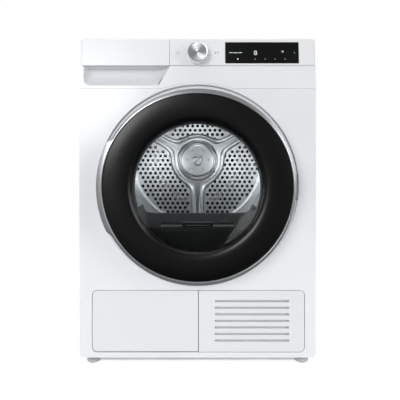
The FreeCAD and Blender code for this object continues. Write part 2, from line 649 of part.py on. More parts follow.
def make_drum():
    """A steel barrel with a turned-in front lip, a drilled back, a stub shaft and lifters."""
    wall, outer = "drum_radius", "drum_radius + drum_wall"
    barrel = ring_y(wall, outer, "drum_front", "drum_rear", 0, "drum_height")
    lip = ring_y("drum_lip", wall, "drum_front", "drum_front + drum_wall", 0, "drum_height")
    rear_lip = ring_y(278, wall, "drum_rear - drum_wall", "drum_rear", 0, "drum_height")
    node(group(barrel, lip, rear_lip), "drum_shell")
    body = doc.addObject("PartDesign::Body", "Body")
    face = sketch_on(body, "XZ_Plane")
    circle(face, 0, 0, "drum_radius - 0.3")
    pad = body.newObject("PartDesign::Pad", "Pad")
    pad.Profile, pad.Length = face, 1.5
    holes = sketch_on(body, "XZ_Plane")
    for radius, count in ((115, 3), (160, 5), (205, 7), (243, 8)):
        spread = 92 if radius < 200 else 100
        for k in range(count):
            angle = math.radians(-90 + 60 + spread * (k / (count - 1) - 0.5))
            circle(holes, "%.3f" % (radius * math.cos(angle)), "%.3f" % (radius * math.sin(angle)), 11)
    pocket = body.newObject("PartDesign::Pocket", "Pocket")
    pocket.Profile, pocket.Type, pocket.Midplane = holes, "ThroughAll", True
    pattern = body.newObject("PartDesign::PolarPattern", "PolarPattern")
    pattern.Originals = [pocket]
    pattern.Axis = (face, ["N_Axis"])
    pattern.Angle, pattern.Occurrences = 360, 3
    body.Tip = pattern
    place(body, 0, "drum_back_y + 1.5", "drum_height")
    outline = [(0, "drum_back_y + 1.5"), (60, "drum_back_y + 1.5"), (60, "drum_back_y + 4"),
               (24, "drum_back_y + 8"), ("shaft_radius", "drum_back_y + 9"), ("shaft_radius", 262),
               (0, 262)]
    shaft = lathe("XY_Plane", outline, 0, 0, "drum_height")
    node(group(body, shaft), "drum_back")
    foot = "drum_radius - 2"
    ridges = []
    for angle in (0, 120, 240):
        corners = [(-25, "- ( %s )" % foot), (25, "- ( %s )" % foot),
                   (9, "- drum_radius + lifter_height"), (-9, "- drum_radius + lifter_height")]
        ridge = prism("XZ_Plane", corners, -190, 380, True)
        ridge.Placement = Placement(Vector(), Rotation(Vector(0, 1, 0), angle))
        ridges.append(place(ridge, 0, -190, "drum_height"))
    node(group(*ridges), "drum_lifters")


def make_rear_bulkhead():
    """The pressed plate behind the drum, its air windows and the shaft's bearing."""
    plate = block(-290, 290, 240, 241.5, 228, 820)
    windows = []
    for angle in (-90, 30, 150):
        for spread in (-34, 0, 34):
            turn = math.radians(angle + 60 + spread)
            x, rise = 155 * math.cos(turn), 155 * math.sin(turn)
            windows.append(rod("y", 34, "%.3f" % x, 230, "drum_height + ( %.3f )" % rise, 20))
    hole = rod("y", "bearing_radius + 0.05", 0, 230, "drum_height", 20)
    fold = block(-290, 290, 241.5, 258, 818.5, 820)
    hose = rod("y", 8, -245, 230, 800, 20)
    node(cut(fuse(plate, fold), hole, hose, *windows), "rear_bulkhead")
    node(ring_y("shaft_radius + 0.05", "bearing_radius", 236, 258, 0, "drum_height"), "rear_bearing")


# ---------------------------------------------------------------- drive

def make_motor():
    """The motor on its cradle, with the shaft that carries the pulley and the fan."""
    can = rod("y", "motor_radius", "motor_x", 60, "motor_z", 120)
    boss = rod("y", 16, "motor_x", 54, "motor_z", 132)
    cradle = block("motor_x - 44", "motor_x + 44", 75, 165, "base_floor + 0.3", 90)
    post = block("idler_pivot_x - 6", "idler_pivot_x + 6", 44, 56, "base_floor + 0.3", 160)
    pivot = rod("y", 4, "idler_pivot_x", 36, "idler_pivot_z", 10)
    sole = block("idler_pivot_x - 6", "motor_x", 44, 90, "base_floor + 0.3", 40)
    bore = rod("y", "motor_shaft + 0.1", "motor_x", 40, "motor_z", 160)
    node(cut(fuse(can, boss, cradle, post, sole, pivot), bore), "motor_housing")
    outline = [(0, 18), ("pulley_radius + 2", 18), ("pulley_radius + 2", 21), ("pulley_radius", 22),
               ("pulley_radius", 36), ("pulley_radius + 2", 37), ("pulley_radius + 2", 40),
               ("motor_shaft", 41), ("motor_shaft", 282), (0, 282)]
    node(lathe("XY_Plane", outline, "motor_x", 0, "motor_z"), "motor_shaft")
    hub = [("motor_shaft + 0.02", 226), ("fan_radius", 226), ("fan_radius", 228), (16, 228),
           (16, 262), ("motor_shaft + 0.02", 262)]
    blades = []
    for k in range(24):
        blade = prism("XZ_Plane", [(62, -1), (76, 4), (76, 6), (62, 1)], 227, 50, True)
        blade.Placement = Placement(Vector(), Rotation(Vector(0, 1, 0), k * 15))
        blades.append(place(blade, "motor_x", 227, "motor_z"))
    wheel = fuse(lathe("XY_Plane", hub, "motor_x", 0, "motor_z"),
                 ring_y(60, "fan_radius", 276, 278, "motor_x", "motor_z"), *blades)
    node(wheel, "blower_wheel")
    case = cut(block(64, 236, 214, 298, "base_floor + 2", 210),
               block(67, 233, 217, 295, "base_floor + 5", 207),
               rod("y", 55, "motor_x", 205, "motor_z", 20),
               block(84, 208, 290, 300, 150, 195))
    node(case, "fan_scroll")


def belt_loop(circles):
    """The outline of a belt round circles (x, z, signed radius), in order.

    Each straight run is the common tangent of two circles: its left normal n satisfies
    n . (next centre - centre) = next radius - radius, negative where the belt bends back."""
    touches = []
    for (x0, z0, r0), (x1, z1, r1) in zip(circles, circles[1:] + circles[:1]):
        gap = Vector(x1 - x0, 0, z1 - z0)
        across = (r1 - r0) / gap.Length
        ahead = math.sqrt(1 - across * across)
        unit = gap.normalize()
        left = Vector(-unit.z, 0, unit.x)
        normal = left * ahead + unit * across
        touches.append((Vector(x0, 0, z0) - normal * r0, Vector(x1, 0, z1) - normal * r1))
    edges = []
    for k, (x, z, radius) in enumerate(circles):
        arrive, leave = touches[k - 1][1], touches[k][0]
        centre = Vector(x, 0, z)
        start = math.atan2(arrive.z - z, arrive.x - x)
        end = math.atan2(leave.z - z, leave.x - x)
        sweep = (end - start) % (2 * math.pi) if radius > 0 else -((start - end) % (2 * math.pi))
        half = start + sweep / 2
        middle = centre + Vector(math.cos(half), 0, math.sin(half)) * abs(radius)
        edges.append(Part.Arc(arrive, middle, leave).toShape())
        edges.append(Part.LineSegment(leave, touches[k][1]).toShape())
    return Part.Face(Part.Wire(edges))


def make_belt():
    """The poly-V belt round the drum and the pulley, pressed in by the idler."""
    size = SIZES
    gap, thick = 0.3, size["belt_thickness"]
    drum = size["drum_radius"] + size["drum_wall"] + gap
    idler, pulley = size["idler_radius"] + gap, size["pulley_radius"] + gap
    faces = []
    for grow in (0, thick):
        faces.append(belt_loop([(0, size["drum_height"], drum + grow),
                                (size["idler_x"], size["idler_z"], -(idler + thick - grow)),
                                (size["motor_x"], size["motor_z"], pulley + grow)]))
    inner, outer = [face.extrude(Vector(0, size["belt_width"], 0)) for face in faces]
    belt = doc.addObject("Part::Feature", "Belt")
    belt.Shape = outer.cut(inner)
    belt.Placement.Base.y = size["belt_y"]
    node(belt, "drive_belt")


def make_idler():
    """The idler's arm, wheel and spring, and the two drum rollers."""
    x, z, pivot_x, pivot_z = "idler_x", "idler_z", "idler_pivot_x", "idler_pivot_z"
    bar = block(pivot_x, x, 37, 40, pivot_z + " - 7", z + " + 4")
    arm = fuse(bar, rod("y", 9, pivot_x, 37, pivot_z, 3), rod("y", 8, x, 37, z, 3),
               rod("y", 3.9, x, 22, z, 16))
    node(cut(arm, rod("y", 4.1, pivot_x, 30, pivot_z, 20)), "idler_arm")
    node(ring_y(4, "idler_radius", "belt_y - 1", "belt_y + belt_width + 1", x, z), "idler_wheel")
    node(rod("z", 5, 62, 47, 60, 78), "idler_spring")
    for label, side in (("roller_left", -1), ("roller_right", 1)):
        wheel = ring_y("roller_pin + 0.1", "roller_radius", -208, -190, "%d * roller_x" % side,
                       "roller_z")
        node(wheel, label)


# ---------------------------------------------------------------- water tank

def make_tank():
    """The condensate tank: a drawer front and a body that narrows over the drum."""
    face = block("drawer_left", "drawer_right", "- bar_proud", 4, "bar_bottom + 0.4", "bar_top - 0.6")
    node(lean(round_edges(face, 2, lambda m, d: abs(d.x) > 0.99 and m.y < -3)), "tank_front")
    outline = [("tank_left", 774), (-158, 774), (-100, 798), ("tank_right", 807),
               ("tank_right", "tank_top"), ("tank_left", "tank_top")]
    inside = [("tank_left + 2.5", 776.5), (-158.5, 776.5), (-100, 800.7), ("tank_right - 2.5", 809),
              ("tank_right - 2.5", "tank_top - 2.5"), ("tank_left + 2.5", "tank_top - 2.5")]
    shell = cut(prism("XZ_Plane", outline, -260, "tank_rear + 260", True),
                prism("XZ_Plane", inside, -257, "tank_rear + 254", True),
                rod("z", 22, -220, 130, 800, 60))
    node(shell, "tank_body")


for make in (make_worktop, make_side_panels, make_front_panel, make_rear, make_mains_inlet,
             make_control_panel, make_fascia, make_knob, make_hatch, make_grille, make_inner_cover,
             make_base, make_feet, make_compressor, make_coils, make_pipes, make_pump,
             make_front_bulkhead, make_filter, make_door, make_door_fittings, make_drum,
             make_rear_bulkhead, make_motor, make_belt, make_idler, make_tank):
    make()
doc.recompute()

faults = [item.Label for item in doc.Objects if {"Invalid", "Error"} & set(item.State)]
faults += [item.Label for item in NODES if item.Shape.isNull() or not item.Shape.isValid()]
if faults:
    raise SystemExit("failed: " + ", ".join(faults))

os.makedirs("parts", exist_ok=True)
for item in NODES:
    item.Shape.exportStep("parts/%s.step" % item.Label)
print(len(NODES), "nodes")
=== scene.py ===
import json
import math

import bmesh
import bpy
import numpy as np
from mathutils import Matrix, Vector

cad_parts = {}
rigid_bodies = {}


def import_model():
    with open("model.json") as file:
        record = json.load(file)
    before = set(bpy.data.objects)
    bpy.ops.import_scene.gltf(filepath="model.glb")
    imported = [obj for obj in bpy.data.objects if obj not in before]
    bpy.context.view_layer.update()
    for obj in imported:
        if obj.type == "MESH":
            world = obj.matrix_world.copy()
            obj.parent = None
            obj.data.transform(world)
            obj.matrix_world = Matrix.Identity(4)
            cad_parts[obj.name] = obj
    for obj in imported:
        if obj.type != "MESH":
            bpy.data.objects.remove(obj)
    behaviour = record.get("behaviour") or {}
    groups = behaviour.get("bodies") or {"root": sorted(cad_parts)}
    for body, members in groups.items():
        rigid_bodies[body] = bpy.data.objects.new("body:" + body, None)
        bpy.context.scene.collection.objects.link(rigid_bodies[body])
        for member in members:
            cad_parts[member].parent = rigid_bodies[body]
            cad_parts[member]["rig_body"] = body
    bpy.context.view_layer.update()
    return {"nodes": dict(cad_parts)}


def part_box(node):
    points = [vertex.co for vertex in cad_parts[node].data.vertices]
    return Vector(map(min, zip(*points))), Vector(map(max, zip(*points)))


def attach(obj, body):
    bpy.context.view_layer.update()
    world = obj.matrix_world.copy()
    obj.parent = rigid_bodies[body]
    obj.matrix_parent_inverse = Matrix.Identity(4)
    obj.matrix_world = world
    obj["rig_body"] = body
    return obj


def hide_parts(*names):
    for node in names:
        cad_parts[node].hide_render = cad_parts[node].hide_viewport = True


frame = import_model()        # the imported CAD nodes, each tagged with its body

TAU = 2 * math.pi
MM = 0.001


# ------------------------------------------------------------------ materials

def linear(colour):
    """sRGB hex to linear RGBA: c / 12.92 up to 0.04045, else ((c + 0.055) / 1.055) ** 2.4."""
    parts = [int(colour[k:k + 2], 16) / 255 for k in (1, 3, 5)]
    return [c / 12.92 if c <= 0.04045 else ((c + 0.055) / 1.055) ** 2.4 for c in parts] + [1.0]


def add(tree, kind, inputs=(), **properties):
    """Adds one shader node, with its properties, and with each input set or linked."""
    made = tree.nodes.new("ShaderNode" + kind)
    for name, value in properties.items():
        setattr(made, name, value)
    for name, value in dict(inputs).items():
        if isinstance(value, bpy.types.NodeSocket):
            tree.links.new(value, made.inputs[name])
        else:
            made.inputs[name].default_value = value
    return made


def finish(name, colour, roughness, **shine):
    """A material with a Principled shader; further sockets are named with _ for a space."""
    made = bpy.data.materials.new(name)
    made.use_nodes = True
    shader = made.node_tree.nodes["Principled BSDF"]
    shader.inputs["Base Color"].default_value = linear(colour)
    shader.inputs["Roughness"].default_value = roughness
    for socket, value in shine.items():
        shader.inputs[socket.replace("_", " ")].default_value = value
    return made, made.node_tree, shader


def position(tree, scale=(1, 1, 1)):
    """Object coordinates, stretched by a scale."""
    coordinate = add(tree, "TexCoord").outputs["Object"]
    return add(tree, "Mapping", {"Vector": coordinate, "Scale": scale}).outputs["Vector"]


def two_tone(tree, shader, factor, dark, light, low=0.35, high=0.65):
    """Runs the base colour from dark to light as a pattern goes from low to high."""
    ramp = add(tree, "ValToRGB", {"Fac": factor})
    ramp.color_ramp.elements[0].color, ramp.color_ramp.elements[1].color = linear(dark), linear(light)
    ramp.color_ramp.elements[0].position, ramp.color_ramp.elements[1].position = low, high
    tree.links.new(ramp.outputs["Color"], shader.inputs["Base Color"])


def relief(tree, shader, height, depth, strength=1.0):
    """Bumps the surface by a height pattern, depth being the pattern's full range in metres."""
    bump = add(tree, "Bump", {"Height": height, "Distance": depth, "Strength": strength})
    tree.links.new(bump.outputs["Normal"], shader.inputs["Normal"])


def vary_roughness(tree, shader, factor, low, high):
    """Runs the roughness from low to high as a pattern goes from 0 to 1."""
    spread = add(tree, "MapRange", {"Value": factor, "To Min": low, "To Max": high})
    tree.links.new(spread.outputs["Result"], shader.inputs["Roughness"])


def noise(tree, place, pitch, detail=2.0):
    """Smooth noise whose blobs are about one pitch across, in metres."""
    return add(tree, "TexNoise", {"Vector": place, "Scale": 0.5 / pitch, "Detail": detail}).outputs["Fac"]


def powder_enamel():
    """Powder-coated steel, baked: satin-gloss white with a faint orange peel.

    Real peel is about 1 mm across; it is drawn at 4 mm so that it breaks up reflections."""
    made, tree, shader = finish("powder_enamel_baked", "#e9ebee", 0.3, Coat_Weight=0.25,
                                Coat_Roughness=0.12)
    place = position(tree)
    two_tone(tree, shader, noise(tree, place, 160 * MM), "#e6e8ec", "#ebedf0")
    relief(tree, shader, noise(tree, place, 4 * MM), 0.02 * MM, 0.6)
    return made


def worktop_board():
    """Melamine-faced board: white and satin, with a fine pebbled print."""
    made, tree, shader = finish("melamine_board_pressed", "#eceef0", 0.38)
    place = position(tree)
    two_tone(tree, shader, noise(tree, place, 90 * MM), "#e9ebed", "#eef0f2")
    relief(tree, shader, noise(tree, place, 1.5 * MM, 3.0), 0.04 * MM, 0.5)
    return made


def white_abs(name, colour, roughness):
    """Injection-moulded ABS: white with a soft gloss and a slight flow variation."""
    made, tree, shader = finish(name, colour, roughness, Coat_Weight=0.15, Coat_Roughness=0.2)
    place = position(tree)
    vary_roughness(tree, shader, noise(tree, place, 25 * MM), roughness - 0.03, roughness + 0.04)
    relief(tree, shader, noise(tree, place, 1.2 * MM, 3.0), 0.015 * MM, 0.5)
    return made


def moulded_polypropylene(name, dark, light, roughness, pitch=1.4 * MM):
    """Spark-textured polypropylene: matt, with a fine even grain in its skin."""
    made, tree, shader = finish(name, dark, roughness, Specular_IOR_Level=0.4)
    place = position(tree)
    grain = noise(tree, place, pitch, 4.0)
    two_tone(tree, shader, noise(tree, place, 60 * MM), dark, light)
    vary_roughness(tree, shader, grain, roughness - 0.08, roughness + 0.08)
    relief(tree, shader, grain, 0.12 * MM, 0.6)
    return made


def printed_glass():
    """Tempered glass printed black on its back: deep, wet and very smooth."""
    made, tree, shader = finish("tempered_glass_black_printed", "#040505", 0.3)
    place = position(tree)
    vary_roughness(tree, shader, noise(tree, place, 30 * MM), 0.28, 0.33)
    return made


def clear_glass(name, tint, strength):
    """Clear thin glass: light goes straight through and a little is mirrored, more at a slant.

    The mirrored share is strength (0.04 + 0.96 f^5), f being 0 face on and 1 edge on."""
    made, tree, shader = finish(name, tint, 0.0)
    through = add(tree, "BsdfTransparent", {"Color": linear(tint)}).outputs["BSDF"]
    uneven = noise(tree, position(tree), 60 * MM, 1.0)
    ripple = add(tree, "Bump", {"Height": uneven, "Distance": 0.2 * MM}).outputs["Normal"]
    mirror = add(tree, "BsdfGlossy", {"Roughness": 0.02, "Normal": ripple}).outputs["BSDF"]
    slant = add(tree, "LayerWeight", {"Blend": 0.5}).outputs["Facing"]
    curve = add(tree, "Math", {0: slant, 1: 5.0}, operation="POWER").outputs["Value"]
    share = add(tree, "Math", {0: curve, 1: 0.96 * strength, 2: 0.04 * strength},
                operation="MULTIPLY_ADD").outputs["Value"]
    mixed = add(tree, "MixShader", {0: share, 1: through, 2: mirror})
    tree.links.new(mixed.outputs["Shader"], tree.nodes["Material Output"].inputs["Surface"])
    return made


def brushed_steel(name, dark, light, roughness, stretch):
    """Rolled stainless steel: streaks run one way, so the pattern is stretched along them."""
    made, tree, shader = finish(name, light, roughness, Metallic=1.0, Anisotropic=0.4)
    streaks = noise(tree, position(tree, stretch), 1.0 * MM, 3.0)
    two_tone(tree, shader, streaks, dark, light)
    vary_roughness(tree, shader, streaks, roughness - 0.06, roughness + 0.08)
    relief(tree, shader, streaks, 0.02 * MM, 0.4)
    return made


def spun_aluminium():
    """Aluminium faced on a lathe: fine rings about the dial's own axis."""
    made, tree, shader = finish("aluminium_spun_anodised", "#eceef0", 0.34, Metallic=0.9,
                                Anisotropic=0.85)
    low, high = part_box("dial_knob")
    middle = (low + high) / 2
    shift = add(tree, "Mapping", {"Vector": add(tree, "TexCoord").outputs["Object"],
                                  "Location": (-middle.x, 0, -middle.z)})
    rings = add(tree, "TexWave", {"Vector": shift.outputs["Vector"], "Scale": 160.0, "Distortion": 0.4,
                                  "Detail": 2.0}, wave_type="RINGS", rings_direction="Y")
    relief(tree, shader, rings.outputs["Fac"], 0.01 * MM, 0.35)
    vary_roughness(tree, shader, rings.outputs["Fac"], 0.3, 0.38)
    around = add(tree, "Tangent", direction_type="RADIAL", axis="Y")
    tree.links.new(around.outputs["Tangent"], shader.inputs["Tangent"])
    return made


def satin_silver():
    """Silver-painted, clear-lacquered ABS, as on a door's trim ring: metallic and even."""
    made, tree, shader = finish("silver_lacquer_sprayed", "#c4c6c9", 0.3, Metallic=0.8,
                                Coat_Weight=0.3, Coat_Roughness=0.1)
    flakes = noise(tree, position(tree), 0.8 * MM, 2.0)
    vary_roughness(tree, shader, flakes, 0.26, 0.36)
    relief(tree, shader, flakes, 0.01 * MM, 0.3)
    return made


def galvanised():
    """Hot-dip galvanised sheet: zinc crystals 12 mm across, each a slightly different grey."""
    made, tree, shader = finish("steel_hot_dip_galvanised", "#9da1a5", 0.42, Metallic=0.85)
    cells = add(tree, "TexVoronoi", {"Vector": position(tree), "Scale": 1 / (12 * MM)})
    grey = add(tree, "SeparateColor", {"Color": cells.outputs["Color"]}).outputs["Red"]
    two_tone(tree, shader, grey, "#a6aaae", "#b6babd", 0.1, 0.9)
    vary_roughness(tree, shader, grey, 0.42, 0.5)
    return made


def soft_rubber(name, dark, light):
    """Moulded rubber: matt, slightly mottled and bloomed."""
    made, tree, shader = finish(name, dark, 0.72, Specular_IOR_Level=0.35)
    place = position(tree)
    two_tone(tree, shader, noise(tree, place, 14 * MM), dark, light)
    relief(tree, shader, noise(tree, place, 0.9 * MM, 3.0), 0.1 * MM, 0.5)
    return made


def wool_felt():
    """Pressed wool felt: short fibres every way, drawn at 1.5 mm."""
    made, tree, shader = finish("wool_felt_pressed", "#6f6a62", 0.95, Sheen_Weight=0.4)
    fibres = noise(tree, position(tree), 1.5 * MM, 6.0)
    two_tone(tree, shader, fibres, "#5d5850", "#857f75")
    relief(tree, shader, fibres, 0.6 * MM, 0.8)
    return made


def cast_aluminium():
    """Die-cast aluminium: grey, slightly pitted."""
    made, tree, shader = finish("aluminium_die_cast", "#8e9194", 0.5, Metallic=0.9)
    pits = noise(tree, position(tree), 2.2 * MM, 5.0)
    two_tone(tree, shader, pits, "#83878a", "#9b9ea1")
    relief(tree, shader, pits, 0.2 * MM, 0.6)
    return made


def drawn_copper():
    """Drawn copper tube: warm, with darker patches where it has oxidised."""
    made, tree, shader = finish("copper_drawn", "#b66f4a", 0.3, Metallic=1.0)
    patches = noise(tree, position(tree), 16 * MM, 4.0)
    two_tone(tree, shader, patches, "#8a4f36", "#c47c55")
    vary_roughness(tree, shader, patches, 0.42, 0.24)
    return made


def finned_aluminium():
    """A stack of aluminium fins about 3.1 mm apart, seen on edge as fine upright stripes: bright fin
    edges with painted shade for the gaps between them.
    """
    made, tree, shader = finish("aluminium_fins_painted_gap_shade", "#b8bcbf", 0.35, Metallic=1.0)
    fin_stripes_with_gap_shade = add(tree, "TexWave", {"Vector": position(tree), "Scale": 20.0 / 0.157 / 2.5 * 2},
                wave_type="BANDS", bands_direction="X", wave_profile="SIN").outputs["Fac"]
    # painted shade: the dark band of each wave is the shadowed gap between two fins
    two_tone(tree, shader, fin_stripes_with_gap_shade, "#3c3f42", "#c9cdd0", 0.2, 0.6)
    relief(tree, shader, fin_stripes_with_gap_shade, 1.0 * MM, 0.8)
    return made


def stoved_black():
    """Stoved black paint on a steel pot: satin, with a soft orange peel."""
    made, tree, shader = finish("steel_stoved_black", "#121314", 0.36, Coat_Weight=0.2)
    place = position(tree)
    two_tone(tree, shader, noise(tree, place, 30 * MM), "#101112", "#1b1c1e")
    relief(tree, shader, noise(tree, place, 5 * MM), 0.08 * MM, 0.5)
    return made


def circuit_board():
    """Glass-epoxy board with solder resist: green, with a faint woven print."""
    made, tree, shader = finish("epoxy_board_resist", "#1d4a2c", 0.4)
    weave = noise(tree, position(tree), 3 * MM, 4.0)
    two_tone(tree, shader, weave, "#173d24", "#2a6140")
    return made


def translucent_tank():
    """Blow-moulded natural polypropylene: milky, a little light passes through."""
    made, tree, shader = finish("polypropylene_natural_blown", "#d5dadb", 0.42,
                                Subsurface_Weight=0.2, Subsurface_Scale=0.01)
    place = position(tree)
    two_tone(tree, shader, noise(tree, place, 50 * MM), "#cdd3d4", "#dde1e2")
    relief(tree, shader, noise(tree, place, 3 * MM), 0.06 * MM, 0.5)
    return made


def printed_ink(name, colour, glow=0.0):
    """Screen-printed ink on the panel: matt, slightly uneven, or lit from behind."""
    made, tree, shader = finish(name, colour, 0.6, Emission_Color=linear(colour),
                                Emission_Strength=glow)
    grain = noise(tree, position(tree), 0.8 * MM, 3.0)
    vary_roughness(tree, shader, grain, 0.5, 0.7)
    relief(tree, shader, grain, 0.02 * MM, 0.4)
    return made


enamel = powder_enamel()
board = worktop_board()
abs_bright = white_abs("abs_white_polished", "#eceef0", 0.24)
abs_satin = white_abs("abs_white_satin", "#dfe2e5", 0.4)
abs_kick = white_abs("abs_white_kick", "#e3e5e8", 0.3)
grey_pp = moulded_polypropylene("polypropylene_grey_moulded", "#8f9294", "#9b9ea0", 0.6)
light_pp = moulded_polypropylene("polypropylene_light_grey_moulded", "#b9bcbe", "#c4c7c9", 0.5)
black_pp = moulded_polypropylene("polypropylene_black_moulded", "#0d0e0f", "#141516", 0.42)
lifter_pp = moulded_polypropylene("polypropylene_lifter_moulded", "#3c3d3f", "#47494b", 0.42)
grey_ink = printed_ink("ink_grey_printed", "#a9adb1")
display_ink = printed_ink("display_segment_lit", "#dfe6ea", 0.8)
dim_ink = printed_ink("display_symbol_dim", "#8c9296", 0.2)
black_glass = printed_glass()
window_glass = clear_glass("glass_pressed_clear", "#f8f9f9", 0.35)
bowl_glass = clear_glass("glass_bowl_pressed", "#f6f7f7", 0.03)
drum_steel = brushed_steel("stainless_rolled_barrel", "#8d8f91", "#b9bbbd", 0.28, (30, 1, 30))
back_steel = brushed_steel("stainless_drilled_back", "#a6a8ab", "#c0c2c5", 0.42, (1, 1, 26))
spider_steel = brushed_steel("stainless_pressed_spider", "#a4a6a9", "#bdbfc2", 0.3, (1, 1, 26))
zinc = brushed_steel("steel_zinc_plated", "#8f9396", "#b0b4b7", 0.34, (1, 1, 8))
aluminium = spun_aluminium()
silver = satin_silver()
zinc_sheet = galvanised()
black_rubber = soft_rubber("rubber_black_moulded", "#0c0c0c", "#161616")
foot_rubber = soft_rubber("rubber_grey_moulded", "#b4b7b9", "#c0c3c5")
felt = wool_felt()
# painted shade: a near-black sheet for what lies behind the drum's drilled back, so that its holes read
# dark
painted_shade_black = soft_rubber("black_painted_shade_sheet", "#070707", "#0c0c0c")
casting = cast_aluminium()
copper = drawn_copper()
fins = finned_aluminium()
pot_paint = stoved_black()
resist = circuit_board()
milky = translucent_tank()


# ------------------------------------------------------------------ mesh helpers

def body_of(node):
    """The body that a CAD node belongs to."""
    return frame["nodes"][node]["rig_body"]


def piece(name, mesh, material, body, replaces=()):
    """Puts a mesh into the scene as a piece that rides on a body."""
    thing = bpy.data.objects.new(name, mesh)
    bpy.context.scene.collection.objects.link(thing)
    if material:
        mesh.materials.clear()
        mesh.materials.append(material)
    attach(thing, body)
    if replaces:
        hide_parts(*replaces)
    return thing


def refined(node, material, width):
    """A copy of a CAD node, merged, with its flat faces joined and its edges rounded over."""
    mesh = frame["nodes"][node].data.copy()
    work = bmesh.new()
    work.from_mesh(mesh)
    bmesh.ops.remove_doubles(work, verts=work.verts, dist=0.02 * MM)
    bmesh.ops.dissolve_limit(work, angle_limit=math.radians(1.0), verts=work.verts, edges=work.edges)
    work.to_mesh(mesh)
    work.free()
    mesh.shade_smooth()
    thing = piece(node + "_shell", mesh, material, body_of(node), (node,))
    round_over(thing, width)
    return thing


def round_over(thing, width, segments=3):
    """Rounds the edges sharper than 35 degrees and keeps the flat faces shading flat."""
    bevel = thing.modifiers.new("rounded_edges", "BEVEL")
    bevel.width, bevel.segments = width, segments
    bevel.limit_method, bevel.angle_limit = "ANGLE", math.radians(35)
    bevel.use_clamp_overlap = True
    weighted = thing.modifiers.new("flat_faces_stay_flat", "WEIGHTED_NORMAL")
    weighted.keep_sharp = False


def grid(points, close_u=False, close_v=False):
    """A mesh over a (u, v, 3) array of points; either way round may close on itself."""
    rows, columns = points.shape[:2]
    u = np.arange(rows if close_u else rows - 1)[:, None]
    v = np.arange(columns if close_v else columns - 1)[None, :]
    u_next, v_next = (u + 1) % rows, (v + 1) % columns
    faces = np.stack([u * columns + v, u_next * columns + v, u_next * columns + v_next,
                      u * columns + v_next], axis=-1).reshape(-1, 4)
    mesh = bpy.data.meshes.new("surface")
    mesh.from_pydata(points.reshape(-1, 3).tolist(), [], faces.tolist())
    return mesh


def tidy(mesh, recalculate=True):
    """Closes seams and poles by merging doubles, and turns the faces outwards."""
    work = bmesh.new()
    work.from_mesh(mesh)
    bmesh.ops.remove_doubles(work, verts=work.verts, dist=0.01 * MM)
    bmesh.ops.dissolve_degenerate(work, edges=work.edges, dist=0.005 * MM)
    if recalculate:
        bmesh.ops.recalc_face_normals(work, faces=work.faces)
    work.to_mesh(mesh)
    work.free()
    mesh.shade_smooth()
    return mesh


def rounded(corners, radii, steps=5, closed=False):
    """A polyline whose corners are arcs: each arc touches both sides r tan(turn / 2) away."""
    corners = np.asarray(corners, float)
    count = len(corners)
    result = []
    for k in range(count):
        here, radius = corners[k], radii[k]
        if radius <= 0 or (not closed and k in (0, count - 1)):
            result.append(here[None])
            continue
        back, ahead = corners[k - 1] - here, corners[(k + 1) % count] - here
        limit = 0.49 * min(np.linalg.norm(back), np.linalg.norm(ahead))
        back, ahead = back / np.linalg.norm(back), ahead / np.linalg.norm(ahead)
        half = math.acos(float(np.clip(back @ ahead, -1, 1))) / 2
        reach = min(radius / math.tan(half), limit)
        radius = reach * math.tan(half)
        bisector = (back + ahead) / np.linalg.norm(back + ahead)
        centre = here + bisector * radius / math.sin(half)
        first, last = here + back * reach - centre, here + ahead * reach - centre
        turn = math.atan2(first[0] * last[1] - first[1] * last[0], float(first @ last))
        t = np.linspace(0, turn, steps + 1)[:, None]
        normal = np.array([-first[1], first[0]])
        result.append(centre + first * np.cos(t) + normal * np.sin(t))
    return np.concatenate(result)


# ------------------------------------------------------------------ surface helpers

def smooth_step(low, high, value):
    """3 t^2 - 2 t^3 with t running from 0 at low to 1 at high."""
    t = np.clip((value - low) / (high - low), 0, 1)
    return t * t * (3 - 2 * t)


def smooth_max(a, b, blend):
    """(a + b + sqrt((a - b)^2 + blend^2)) / 2: the larger of the two, with a rounded join."""
    return (a + b + np.sqrt((a - b) ** 2 + blend ** 2)) / 2


def face_towards(mesh, target):
    """Turns a whole surface so that its faces look towards a point given in mm."""
    work = bmesh.new()
    work.from_mesh(mesh)
    aim = [value * MM for value in target]
    side = sum(f.normal.dot(type(f.normal)(aim) - f.calc_center_median()) * f.calc_area()
               for f in work.faces)
    if side < 0:
        bmesh.ops.reverse_faces(work, faces=work.faces)
    work.to_mesh(mesh)
    work.free()


def sheet(name, points, material, node, close=(False, False), wall=0.0, towards=None, hide=True,
          keep=None):
    """A piece from an array of points in mm, riding on its node's body and standing for it.

    keep(x, y, z) picks out the faces to keep by their centres; wall adds a thickness behind."""
    mesh = grid(np.asarray(points) * MM, *close)
    if keep is not None:
        work = bmesh.new()
        work.from_mesh(mesh)
        drop = [f for f in work.faces if not keep(*(f.calc_center_median() / MM))]
        bmesh.ops.delete(work, geom=drop, context="FACES")
        work.to_mesh(mesh)
        work.free()
    tidy(mesh, towards is None)
    if towards is not None:
        face_towards(mesh, towards)
    thing = piece(name, mesh, material, body_of(node), (node,) if hide else ())
    if wall:
        solid = thing.modifiers.new("wall", "SOLIDIFY")
        solid.thickness, solid.offset = wall * MM, -1
    return thing


def turned(name, profile, centre, material, node, segments=192, hide=True):
    """A closed profile of (radius, y) pairs in mm, turned about the level axis through (x, z).

    x = cx + r cos a, z = cz + r sin a."""
    profile = np.asarray(profile, float)
    angle = np.arange(segments) / segments * TAU
    radius, depth = profile[:, 0][:, None], profile[:, 1][:, None]
    points = np.stack([centre[0] + radius * np.cos(angle), depth + 0 * angle,
                       centre[1] + radius * np.sin(angle)], axis=-1)
    return sheet(name, points, material, node, (True, True), hide=hide)


def box_mm(node):
    """A node's box in mm, as two arrays."""
    low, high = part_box(node)
    return np.array(low) / MM, np.array(high) / MM


# ------------------------------------------------------------------ plain CAD nodes and their finishes

